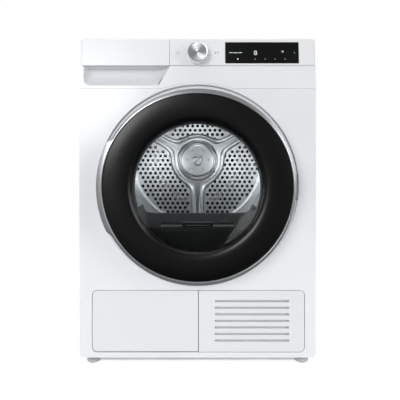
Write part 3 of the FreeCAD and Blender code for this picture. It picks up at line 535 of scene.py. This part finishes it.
FINISHES = {
    "fan_scroll": grey_pp, "condensate_pump": grey_pp, "exchanger_cover": grey_pp,
    "cover_latch_left": grey_pp, "cover_latch_right": grey_pp, "filter_housing": black_pp,
    "front_bulkhead": black_pp, "blower_wheel": black_pp, "tank_body": milky, "mouth_throat": black_pp,
    "drum_lamp": window_glass, "door_pin": zinc, "idler_arm": zinc, "motor_shaft": zinc,
    "idler_spring": zinc, "cabinet_screws": zinc, "rear_bearing": zinc,
    "motor_housing": casting, "compressor": pot_paint, "heat_exchanger_coils": fins,
    "refrigerant_pipes": copper, "drum_felt_seals": felt,
    "drive_belt": black_rubber, "condensate_hose": black_rubber,
    "mains_inlet": black_rubber, "roller_left": black_rubber, "roller_right": black_rubber,
    # the rear bulkhead gets the near-black painted shade, seen through the drum's holes
    "idler_wheel": black_rubber, "control_board": resist, "rear_bulkhead": painted_shade_black,
    "foot_front_left": foot_rubber, "foot_front_right": foot_rubber,
    "foot_rear_left": foot_rubber, "foot_rear_right": foot_rubber,
}
for node, material in FINISHES.items():
    mesh = frame["nodes"][node].data
    mesh.materials.clear()
    mesh.materials.append(material)

for node, material, width in (
        ("worktop", board, 1.5 * MM), ("side_panel_left", enamel, 1.2 * MM),
        ("side_panel_right", enamel, 1.2 * MM), ("front_panel", enamel, 2.2 * MM),
        ("control_panel", abs_bright, 2.2 * MM), ("control_fascia", abs_bright, 1.0 * MM),
        ("tank_front", abs_bright, 1.0 * MM), ("exchanger_hatch", abs_kick, 1.0 * MM),
        ("vent_grille", abs_kick, 0.9 * MM), ("base_unit", light_pp, 1.0 * MM),
        ("display_glass", black_glass, 0.4 * MM), ("door_frame", abs_satin, 0.8 * MM),
        ("hinge_bracket", zinc, 0.6 * MM), ("door_catch", abs_satin, 0.6 * MM),
        ("drum_lifters", lifter_pp, 5.0 * MM), ("lint_filter", black_pp, 0.8 * MM),
        ("rear_panel", zinc_sheet, 0.3 * MM), ("rear_duct_cover", zinc_sheet, 2.5 * MM)):
    refined(node, material, width)


# ------------------------------------------------------------------ door

DOOR = box_mm("door_window")
DOOR_X, DOOR_Z = (DOOR[0][0] + DOOR[1][0]) / 2, (DOOR[0][2] + DOOR[1][2]) / 2
DOOR_FRONT = box_mm("door_bezel")[0][1]
WINDOW_Y = -303.0


def make_bezel():
    """The trim ring, whose outer edge swells into a grip at the left.

    A rounded section is carried round the door. Its inner radius is 229, less 5 h^3 over the top
    half and 3.2 h^3 over the bottom half, h being the height's sine. Its outer radius is
    236 + 6.9 s, s rising smoothly from 0 to 1 as the angle comes within 28 degrees of the left.
    Its front falls back by 2.4 t^1.5 from the inner edge to the outer one."""
    corner, fall, thick = 1.4, 2.4, 7.6
    angle = np.arange(384) / 384 * TAU
    from_left = np.abs(angle - math.pi)
    swell = 1 - smooth_step(math.radians(25.5), math.radians(30.5), from_left)
    rise = np.sin(angle)
    inner = 229.0 - 5.0 * np.maximum(rise, 0) ** 3 - 3.2 * np.maximum(-rise, 0) ** 3
    outer = 236 + 6.9 * swell
    back = DOOR_FRONT + thick
    lip_back = back - 0.4 - 1.6 * swell
    section = [(inner + corner - corner * math.cos(turn), DOOR_FRONT + corner - corner * math.sin(turn))
               for turn in np.linspace(0, math.pi / 2, 5)]
    section += [(inner + corner + (outer - inner - 2 * corner) * share, DOOR_FRONT + fall * share ** 1.5)
                for share in np.linspace(0.12, 1.0, 6)]
    section += [(outer - corner + corner * math.sin(turn),
                 DOOR_FRONT + fall + corner - corner * math.cos(turn))
                for turn in np.linspace(0.5, math.pi / 2, 4)]
    section += [(outer - 0.2, lip_back - 0.3), (outer - 0.8, lip_back),
                (np.minimum(outer - 1.5, 235.2), lip_back), (235, back), (inner + 0.4, back),
                (inner, back - 0.5)]
    radius = np.array([np.broadcast_to(r, angle.shape) for r, y in section])
    depth = np.array([np.broadcast_to(y, angle.shape) for r, y in section])
    points = np.stack([DOOR_X + radius * np.cos(angle), depth, DOOR_Z + radius * np.sin(angle)], -1)
    sheet("door_trim_ring", points, silver, "door_bezel", (True, True))


def make_door_glass():
    """The black ring: it climbs out of the window in a fillet, then crowns over to the trim.

    y = -303 - 14 (1 - exp(-u / 4.5)) - 5.6 sin(c) with u the distance from the window's edge in mm
    and c running from 0 to 125 degrees, so its outer part falls back again."""
    width, thick = 71.3, 3.0
    u = np.concatenate([np.linspace(0, 16, 18), np.linspace(18, width, 26)])
    radius = 157.4 + u
    front = WINDOW_Y - 14.0 * (1 - np.exp(-u / 4.5)) - 5.6 * np.sin(np.radians(125) * u / width)
    back = np.minimum(front + thick, WINDOW_Y + thick)
    profile = np.concatenate([np.stack([radius, front], 1), np.stack([radius + 0.2, back], 1)[::-1]])
    turned("door_crowned_glass", profile, (DOOR_X, DOOR_Z), black_glass, "door_glass", 256)


def disc_profile(radius, front, back, corner=0.6):
    """A disc's half section, from the axis to the rim and back, with softened edges."""
    return [(0.0, front), (radius * 0.5, front), (radius - corner, front), (radius, front + corner),
            (radius, back - corner), (radius - corner, back), (radius * 0.5, back), (0.0, back)]


def make_window():
    """The flat pane, and the pressed bowl behind it, which curves back into the drum's mouth.

    The bowl's depth falls from its flange by 23.8 (1 - s) with s a smooth step over the radius."""
    turned("door_pane", disc_profile(156.8, DOOR[0][1], DOOR[1][1]), (DOOR_X, DOOR_Z),
           window_glass, "door_window")
    radius = np.concatenate([np.linspace(0, 104, 6), np.linspace(108, 152, 16), [160, 168, 175.5]])
    front = -296.0 + 23.8 * (1 - smooth_step(104, 152, radius))
    back = np.minimum(front + 3.8, -268.2)
    profile = np.concatenate([np.stack([radius, front], 1), np.stack([radius, back], 1)[::-1]])
    turned("door_pressed_bowl", profile, (DOOR_X, DOOR_Z), bowl_glass, "door_bowl")


def make_gasket():
    """The lip seal on the mouth: two soft ridges with a groove between them."""
    t = np.linspace(0, 1, 33)
    radius = 190.2 + 13.6 * t
    front = -261.6 - 3.2 * np.abs(np.sin(TAU * t)) ** 0.7 * (0.9 + 0.1 * t)
    profile = np.concatenate([np.stack([radius, front], 1), [(203.8, -261.45), (190.2, -261.45)]])
    turned("mouth_lip_seal", profile, (DOOR_X, DOOR_Z), black_rubber, "door_gasket")


# ------------------------------------------------------------------ drum

DRUM_LOW, DRUM_HIGH = box_mm("drum_shell")
DRUM_Z = (DRUM_LOW[2] + DRUM_HIGH[2]) / 2
PLATE_Y = box_mm("drum_back")[0][1]
SPOKES = np.radians([-90, 30, 150])


def make_drum_wall():
    """The barrel and its lips, with three rolled beads at the ends and the middle.

    The inner radius is 283 less 2 exp(-((y - y0) / 5)^2) for each bead at y0."""
    y = np.concatenate([np.linspace(-212, -150, 32), np.linspace(-145, -10, 10),
                        np.linspace(-6, 26, 22), np.linspace(32, 150, 10), np.linspace(156, 228, 36)])
    bead = sum(2.0 * np.exp(-((y - middle) / 5.0) ** 2) for middle in (-178, 10, 196))
    inside = [(283.0 - b, value) for b, value in zip(bead, y)]
    profile = [(262.4, -210.6), (262.3, -211.8), (263.0, -212.0), (284.4, -212.0)]
    profile += [(284.4, value) for value in np.linspace(-205, 228, 30)]
    profile += [(278.2, 228.0), (278.2, 226.6)] + inside[::-1][3:-1] + [(281.5, -210.6)]
    turned("drum_barrel", profile, (0, DRUM_Z), drum_steel, "drum_shell", 240)


def make_perforated_plate():
    """The drilled back: a honeycomb of cells 20.4 mm apart, each a hexagon round a 12-sided hole.

    Cells near the spokes, the hub or the rim have no hole. A hole's wall runs 1.5 mm back."""
    pitch, hole, thick, sides = 20.4, 6.6, 1.5, 12
    column = np.arange(-14, 15)
    q, r = [axis.ravel() for axis in np.meshgrid(column, column)]
    centre = np.stack([pitch * (q + 0.5 * (r % 2)), pitch * math.sqrt(0.75) * r], 1)
    distance = np.hypot(centre[:, 0], centre[:, 1])
    centre, distance = centre[distance < 270], distance[distance < 270]
    along = centre[:, :1] * np.cos(SPOKES) + centre[:, 1:] * np.sin(SPOKES)
    across = np.abs(centre[:, :1] * np.sin(SPOKES) - centre[:, 1:] * np.cos(SPOKES))
    near_spoke = ((along > 0) & (across < 35)).any(axis=1)
    holed = ~near_spoke & (distance > 91) & (distance < 250)
    k = np.arange(sides)
    angle = np.radians(30 * k + 30)
    reach = pitch / math.sqrt(3) * np.where(k % 2 == 0, 1.0, math.sqrt(0.75))
    hexagon = np.stack([np.cos(angle), np.sin(angle)], 1) * reach[:, None]
    circle = np.stack([np.cos(angle), np.sin(angle)], 1) * hole
    after = (k + 1) % sides

    def layer(offsets, places, depth):
        """The offsets repeated round every place, at one depth."""
        flat = (places[:, None] + offsets[None]).reshape(-1, 2)
        return np.stack([flat[:, 0], np.full(len(flat), depth), flat[:, 1] + DRUM_Z], 1)

    open_cells, shut_cells = centre[holed], centre[~holed]
    many = len(open_cells)
    points = np.concatenate([layer(hexagon, open_cells, PLATE_Y), layer(circle, open_cells, PLATE_Y),
                             layer(circle, open_cells, PLATE_Y + thick),
                             layer(hexagon, shut_cells, PLATE_Y)])
    ring = sides * many
    cell = sides * np.arange(many)[:, None]
    faces = []
    for low, high in ((0, ring), (ring, 2 * ring)):
        quads = np.stack([low + cell + k, low + cell + after, high + cell + after, high + cell + k], -1)
        faces += quads.reshape(-1, 4).tolist()
    faces += (3 * ring + sides * np.arange(len(shut_cells))[:, None] + k).tolist()
    mesh = bpy.data.meshes.new("perforated_plate")
    mesh.from_pydata((points * MM).tolist(), [], faces)
    tidy(mesh)
    face_towards(mesh, (0, -5000, DRUM_Z))
    thing = piece("drum_drilled_plate", mesh, back_steel, body_of("drum_back"), ("drum_back",))
    thing.data.shade_flat()


def make_spider():
    """The pressed spider over the plate: hub, three grooved spokes and the rim.

    d is the distance from the nearest spoke's axis, melted with the distance from the hub's edge at
    radius 80 by smooth minimums, so that the ridge at d = 13.5 runs down each spoke and sweeps round
    the hub. The rim rises from radius 252 to 264. Faces lying below the plate are left out."""
    angle = np.arange(432) / 432 * TAU
    radius = np.concatenate([[0.05], np.linspace(2, 100, 70), np.linspace(102, 248, 70),
                             np.linspace(250, 282.6, 16)])
    r, turn = np.meshgrid(radius, angle, indexing="ij")
    x, z = r * np.cos(turn), r * np.sin(turn)
    apart = r - 80.0
    for spoke in SPOKES:
        along = x * math.cos(spoke) + z * math.sin(spoke)
        across = np.abs(x * math.sin(spoke) - z * math.cos(spoke))
        nearest = np.where(along > 0, across, r)
        apart = -smooth_max(-apart, -nearest, 26.0)
    height = 6.4 * (1 - smooth_step(18, 23, apart)) - 4.2 * (1 - smooth_step(4.5, 9, apart))
    height = height + 1.6 * np.exp(-((apart - 13.5) / 2.4) ** 2)
    inside = 1 - smooth_step(79, 83, r)
    height = height * (1 - inside) + 8.2 * inside
    rim = 4.6 * smooth_step(252, 264, r)
    height = smooth_max(height, rim, 0.6) - 1.4
    height = height + 1.8 * np.exp(-((r - 76.5) / 2.4) ** 2) - 4.0 * np.exp(-((r - 69.0) / 3.4) ** 2)
    height = height + 3.4 * (1 - smooth_step(17.5, 21.5, r)) - 2.2 * (1 - smooth_step(10.5, 12.5, r))
    for k in range(6):
        way = math.radians(60 * k)
        gap = np.hypot(x - 44.5 * math.cos(way), z - 44.5 * math.sin(way))
        height = height - 1.8 * (1 - smooth_step(2.5, 5.5, gap))
    points = np.stack([x, PLATE_Y - height, z + DRUM_Z], -1)
    sheet("drum_spider", points, spider_steel, "drum_back", (False, True), hide=False,
          towards=(0, -5000, DRUM_Z),
          keep=lambda px, py, pz: py < PLATE_Y + 0.6)
    turned("drum_stub_shaft", [(0, 225.5), (60, 225.5), (60, 228), (24, 232), (10, 233), (10, 261.5),
                               (9.4, 262), (0, 262)], (0, DRUM_Z), zinc, "drum_back", 48, hide=False)


def make_painted_shade_disc():
    """A near-black disc on the duct cover behind the drum, 4 mm thick, radius 170: painted shade, seen
    through the drilled back's holes.
    """
    turned("painted_shade_disc", disc_profile(170, 318.5, 322.5), (0, DRUM_Z), painted_shade_black,
           "rear_duct_cover", 96, hide=False)


# ------------------------------------------------------------------ mouth of the drum

MOUTH_Z, SILL_Z = 458.0, 352.5       # heights of the mouth's centre and of its level sill


def mouth_radius(angle, sill, size=169.5):
    """The D-shaped mouth: (size^-p + (drop / -sin a)^-p)^(-1/p) with p = 16, which rounds the
    corners where the circle meets the level sill."""
    drop = (MOUTH_Z - sill) / np.maximum(-np.sin(angle), 1e-3)
    return (size ** -16.0 + drop ** -16.0) ** (-1 / 16.0)


def make_throat():
    """The mouth's moulded liner: its face, a rounded edge, and the tunnel back to the plate."""
    angle = np.arange(288) / 288 * TAU
    rows = [(20.0, -261.7), (6.0, -261.9), (2.5, -261.7), (0.8, -260.9), (0.0, -259.4), (0.0, -250.0),
            (0.0, -236.0), (0.0, -222.0), (1.2, -219.8), (10.0, -219.2)]
    points = []
    for outwards, y in rows:
        radius = mouth_radius(angle, SILL_Z) + outwards
        radius = np.minimum(radius, 189.0)
        points.append(np.stack([radius * np.cos(angle), np.full_like(angle, y),
                                MOUTH_Z + radius * np.sin(angle)], -1))
    sheet("mouth_liner", np.array(points), black_pp, "mouth_throat", (False, True), hide=False,
          towards=(0, -280, MOUTH_Z))


def make_tray():
    """The sloping tray over the filter: z = 354 + 24 (y + 257) / 91, swept up at both ends by a
    smooth maximum with the mouth's circle, and open where the filter drops in."""
    x = np.concatenate([np.linspace(-158, -96, 30), np.linspace(-90, 90, 25), np.linspace(96, 158, 30)])
    y = np.array([-257.0, -255.6, -254.3, -242.0, -230.7, -226, -215, -203, -191, -180, -171, -166,
                  -163.6, -162.2])
    px, py = np.meshgrid(x, y, indexing="ij")
    plane = 354 + 24 * (np.clip(py, -257, -166) + 257) / 91
    round_wall = MOUTH_Z - np.sqrt(np.maximum(167.5 ** 2 - px ** 2, 0))
    pz = smooth_max(plane, round_wall, 13.0)
    pz = pz - 5.5 * smooth_step(-168, -162, py) ** 2
    points = np.stack([px, py, pz], -1)
    sheet("filter_tray", points, black_pp, "filter_housing", (False, False), 3.0, (0, -230, 700), False,
          keep=lambda cx, cy, cz: abs(cx) > 95.9 or not -254.4 < cy < -230.6)


make_bezel()
make_door_glass()
make_window()
make_gasket()
make_drum_wall()
make_perforated_plate()
make_spider()
make_throat()
make_tray()


# ------------------------------------------------------------------ dial and markings

LEAN = math.radians(4)
SEAM_Y, SEAM_Z = -275.0, 713.0


def leaning(points):
    """Points (x, out, up) of the control panel, tipped back 4 degrees about its lower edge.

    y = seam + out cos 4 + up sin 4 and z = seam - out sin 4 + up cos 4, out being negative
    towards the front."""
    x, out, up = points[..., 0], points[..., 1], points[..., 2]
    return np.stack([x, SEAM_Y + out * math.cos(LEAN) + up * math.sin(LEAN),
                     SEAM_Z - out * math.sin(LEAN) + up * math.cos(LEAN)], -1)


DIAL_UP = 86.5          # the dial's centre above the panel's lower edge


def make_dial():
    """A turned dial: a slightly dished spun face, a bright chamfer and a straight skirt.

    A closed section is turned about the dial's own axis, then tipped with the panel."""
    face = [(r, -24.0 + 0.9 * (1 - (r / 24.2) ** 2)) for r in np.linspace(0, 24.2, 14)]
    rim = [(24.4, -24.2), (24.7, -24.2), (25.7, -22.9), (25.9, -22.3), (26.0, -21.6)]
    skirt = [(26.0, -8.0), (25.6, -6.2), (24.6, -5.0), (5.0, -4.6), (5.0, 7.0), (4.4, 7.6), (0, 7.6)]
    profile = np.array(face + rim + skirt)
    angle = np.arange(160) / 160 * TAU
    radius, out = profile[:, 0][:, None], profile[:, 1][:, None]
    points = np.stack([radius * np.cos(angle), out + 0 * angle, DIAL_UP + radius * np.sin(angle)], -1)
    sheet("control_dial", leaning(points), aluminium, "dial_knob", (True, True))


def mark(name, outline, material, node, lift):
    """A flat printed mark: an outline of (x, up) corners in mm, standing lift in front."""
    outline = np.asarray(outline, float)
    front = np.column_stack([outline[:, 0], np.full(len(outline), lift), outline[:, 1]])
    back = front + (0, 0.25, 0)
    count = len(outline)
    k = np.arange(count)
    sides = np.stack([k, (k + 1) % count, (k + 1) % count + count, k + count], 1).tolist()
    mesh = bpy.data.meshes.new(name)
    mesh.from_pydata((leaning(np.concatenate([front, back])) * MM).tolist(), [],
                     [k.tolist(), (k + count).tolist()[::-1]] + sides)
    tidy(mesh)
    mesh.shade_flat()
    return piece(name, mesh, material, body_of(node), ())


def bar(x, up, width, height):
    """A rectangle round a centre."""
    return [(x - width / 2, up - height / 2), (x + width / 2, up - height / 2),
            (x + width / 2, up + height / 2), (x - width / 2, up + height / 2)]


def arc_band(x, up, inner, outer, start, end, steps=20):
    """A band between two radii, from one angle in degrees to another."""
    turn = np.radians(np.linspace(start, end, steps))
    ring = np.stack([np.cos(turn), np.sin(turn)], 1)
    return np.concatenate([ring * outer, ring[::-1] * inner]) + (x, up)


def dot(x, up, radius):
    """A 12-sided dot."""
    turn = np.arange(12) / 12 * TAU
    return np.stack([x + radius * np.cos(turn), up + radius * np.sin(turn)], 1)


def make_markings():
    """Power and start symbols beside the dial, and the display's bars, figure and dots."""
    middle, low = 91.0, 74.5            # heights of the symbols and of the display's row of dots
    node, lift = "control_fascia", -4.28
    left, right = -50.0, 48.5
    mark("power_arc", arc_band(left, middle, 3.6, 4.4, 120, 420, 28), grey_ink, node, lift)
    mark("power_bar", bar(left, middle + 3.6, 0.8, 3.6), grey_ink, node, lift)
    mark("start_triangle", [(right - 4.6, middle - 3.4), (right + 0.6, middle),
                            (right - 4.6, middle + 3.4)], grey_ink, node, lift)
    for k, x in enumerate((right + 2.4, right + 4.8)):
        mark("pause_bar_%d" % k, bar(x, middle, 0.9, 6.6), grey_ink, node, lift)
    node, lift, stroke = "display_glass", -4.58, 0.9
    bars = [(84.5, middle, 9, stroke), (96.5, middle, 11, stroke), (108.5, middle, 9, stroke),
            (147, 95.4, 5, stroke), (147, 90.6, 5, stroke), (147, 85.8, 5, stroke),
            (150, 93, stroke, 4.2), (150, 88.2, stroke, 4.2), (144, 93, stroke, 4.2),
            (144, 88.2, stroke, 4.2), (216, 95, 5, 1.0), (216, 92.6, 2.4, 1.0)]
    for k, shape in enumerate(bars):
        mark("display_bar_%d" % k, bar(*shape), display_ink, node, lift)
    mark("display_dot_lit", dot(102, low, 1.5), display_ink, node, lift)
    for k, x in enumerate((146, 171.5, 196.5, 222)):
        mark("display_dot_%d" % k, dot(x, low, 1.5), dim_ink, node, lift)
    mark("display_side_mark", bar(246, middle, 1.2, 5), dim_ink, node, lift)


def make_scoop():
    """The finger scoop's smooth lining under the drawer.

    Depth = 23 (1 - (1 - v)^2.6) (1 - exp(-a / 5)) (1 - exp(-b / 13)), v running from 0 at the
    bottom to 1 at the top, a and b being the distances in mm from the left and right edges. A
    level roof comes forward from its top edge."""
    v = np.concatenate([np.linspace(0, 0.2, 10), np.linspace(0.24, 1.0, 22)])[:, None]
    side = np.concatenate([np.linspace(0, 0.12, 14), np.linspace(0.14, 0.8, 22),
                           np.linspace(0.82, 1.0, 12)])[None, :]
    low, top, corner = 6.6, 57.6, 17
    up = low + (top - low) * v
    left = -290.2 + corner * (1 - np.sqrt(1 - (1 - np.clip((up - low) / corner, 0, 1)) ** 2))
    right = -101.0 + 29.4 * smooth_step(0, 1.06, v) ** 0.9 + 2.0 * v
    x = left + (right - left) * side
    a, b = x - left, right - x
    depth = 23 * (1 - (1 - v) ** 2.6) * (1 - np.exp(-a / 5)) * (1 - np.exp(-b / 13))
    lip = 0.25 * (depth < 0.4)
    wall = np.stack([x, depth - lip, up + 0 * x], -1)
    forward = np.linspace(0.9, 0.1, 6)[:, None]
    roof = np.stack([x[-1] + 0 * forward, depth[-1] * forward, top + 0 * forward * x[-1]], -1)
    points = leaning(np.concatenate([wall, roof]))
    sheet("finger_scoop", points, abs_satin, "control_panel", (False, False), 0.0, (-180, -900, 900),
          False)


def rounded_frame(x0, x1, z0, z1, radius, steps=8):
    """A rectangle's outline with rounded corners, as a closed ring of (x, z) points."""
    corners = [(x0, z0), (x1, z0), (x1, z1), (x0, z1)]
    return rounded(corners, [radius] * 4, steps, True)


def make_kick_details():
    """The folded ledge that the hatch and grille rest on, and the grille's louvres.

    The ledge is a band between two rounded rectangles; the louvres are one wavy sheet, level
    along x, whose depth is a smooth saw-tooth of z with a pitch of 16.6 and a depth of 6.5. The post
    between hatch and grille is a shallow channel."""
    outer, inner = rounded_frame(-270, 274, 41.6, 203.5, 16), rounded_frame(-258, 262, 54, 191, 6)
    rings = [np.column_stack([ring[:, 0], np.full(len(ring), y), ring[:, 1]])
             for ring, y in ((outer, -269.2), (outer, -267.3), (inner, -267.0), (inner, -264.0))]
    sheet("kick_ledge", np.array(rings), enamel, "front_panel", (False, True), 0.0, (0, -900, 120),
          False)
    height = np.array([50.0, 197.0])
    strip = [np.column_stack([np.full(2, x), np.full(2, y), height])
             for x, y in ((-9.0, -264.5), (-8.0, -267.2), (11.5, -267.2), (12.5, -264.5))]
    sheet("kick_post", np.array(strip), enamel, "front_panel", (False, False), 0.0, (0, -900, 120),
          False)
    first, pitch, slots = 73.5, 16.6, 7
    z = np.linspace(first - 9.0, first + (slots - 1) * pitch + 7.6, 240)
    phase = ((z - first + 5.0) / pitch) % 1.0
    depth = -269.7 + 6.5 * smooth_step(0.0, 0.52, phase) * (1 - smooth_step(0.62, 0.95, phase))
    x = np.linspace(38, 238, 3)
    pz, px = np.meshgrid(z, x, indexing="ij")
    points = np.stack([px, np.broadcast_to(depth[:, None], px.shape), pz], -1)
    sheet("grille_louvres", points, abs_kick, "vent_grille", (False, False), 0.0, (130, -900, 120),
          False)


make_painted_shade_disc()
make_dial()
make_markings()
make_scoop()
make_kick_details()

# ------------------------------------------------------------------ stage

FRONT_DIM, BACK_WHITE = 0.12, 0.5       # the surround's strength in front and behind
FLOOR_GLOW, FLOOR_BOUNCE = 0.5, 0.24    # the floor's own light when seen and when it lights things


def make_floor():
    """A round white floor, 1.15 m in radius, that mirrors see as nearly black."""
    plane = bpy.data.meshes.new("floor")
    turn = np.arange(96) / 96 * TAU
    rim = np.stack([1.15 * np.cos(turn), 1.15 * np.sin(turn), 0 * turn], 1)
    plane.from_pydata(rim.tolist(), [], [list(range(96))])
    floor = bpy.data.objects.new("floor", plane)
    bpy.context.scene.collection.objects.link(floor)
    paper, tree, shader = finish("paper_sweep_matt", "#f7f7f7", 0.9, Specular_IOR_Level=0.1,
                                 Emission_Color=(1, 1, 1, 1))
    path = add(tree, "LightPath").outputs
    glow = add(tree, "Math", {0: path["Is Diffuse Ray"], 1: FLOOR_BOUNCE - FLOOR_GLOW, 2: FLOOR_GLOW},
               operation="MULTIPLY_ADD").outputs["Value"]
    tree.links.new(glow, shader.inputs["Emission Strength"])
    dark = add(tree, "Emission", {"Color": (0.03, 0.03, 0.03, 1), "Strength": 1.0}).outputs["Emission"]
    mixed = add(tree, "MixShader", {0: path["Is Glossy Ray"], 1: shader.outputs["BSDF"], 2: dark})
    tree.links.new(mixed.outputs["Shader"], tree.nodes["Material Output"].inputs["Surface"])
    plane.materials.append(paper)


def make_surround():
    """A surround that is plain white when seen, and otherwise dim in front and lighter behind."""
    world = bpy.data.worlds.new("studio")
    bpy.context.scene.world = world
    world.use_nodes = True
    tree = world.node_tree
    direction = add(tree, "SeparateXYZ", {"Vector": add(tree, "TexCoord").outputs["Generated"]})
    path = add(tree, "LightPath").outputs
    front = add(tree, "Math", {0: path["Is Diffuse Ray"], 1: 0.2, 2: FRONT_DIM},
                operation="MULTIPLY_ADD").outputs["Value"]
    depth = add(tree, "MapRange", {"Value": direction.outputs["Y"], "From Min": -0.6, "From Max": 0.5,
                                   "To Min": front, "To Max": BACK_WHITE})
    level = add(tree, "Mix", {"Factor": path["Is Camera Ray"], "A": depth.outputs["Result"], "B": 1.0})
    tree.links.new(level.outputs["Result"], tree.nodes["Background"].inputs["Strength"])
    tree.nodes["Background"].inputs["Color"].default_value = (1, 1, 1, 1)


def soft_box(name, place, aim, size, power):
    """A square lamp at a place in metres, turned to face a point; its power is in watts."""
    lamp = bpy.data.lights.new(name, "AREA")
    lamp.shape, lamp.size, lamp.energy = "SQUARE", size, power
    box = bpy.data.objects.new(name, lamp)
    bpy.context.scene.collection.objects.link(box)
    box.location = place
    box.rotation_euler = (Vector(aim) - Vector(place)).to_track_quat("-Z", "Y").to_euler()


def make_lamps():
    """Soft boxes round the machine, and three small ones just inside the drum's mouth."""
    soft_box("key_upper_left", (-1.5, -2.5, 1.75), (0, 0, 0.5), 1.5, 14)
    soft_box("fill_right", (2.6, -1.9, 1.2), (0, 0, 0.4), 1.6, 30)
    soft_box("top", (0, 0.2, 3.0), (0, 0, 0), 2.2, 26)
    soft_box("drum_high", (0, -0.19, 0.71), (0, 0.22, 0.50), 0.12, 0.5)
    soft_box("drum_left", (-0.19, -0.19, 0.50), (0.1, 0.22, 0.45), 0.12, 0.6)
    soft_box("drum_right", (0.19, -0.19, 0.50), (-0.1, 0.22, 0.45), 0.12, 0.6)
    soft_box("glow_left", (-1.0, -2.3, 1.15), (0, -0.3, 0.5), 1.0, 17)


def make_camera():
    """A wide lens close to the front, level, shifted down to take in the feet."""
    lens = bpy.data.cameras.new("camera")
    lens.lens, lens.sensor_width = 28.4, 36.0
    lens.shift_x, lens.shift_y = 0.006, -0.1065
    camera = bpy.data.objects.new("camera", lens)
    bpy.context.scene.collection.objects.link(camera)
    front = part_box("front_panel")[0].y
    camera.location = (0, front - 0.80, 0.538)
    camera.rotation_euler = (math.radians(90), 0, 0)
    bpy.context.scene.camera = camera


make_floor()
make_surround()
make_lamps()
make_camera()
bpy.context.scene.view_settings.view_transform = "Standard"

bpy.context.view_layer.update()
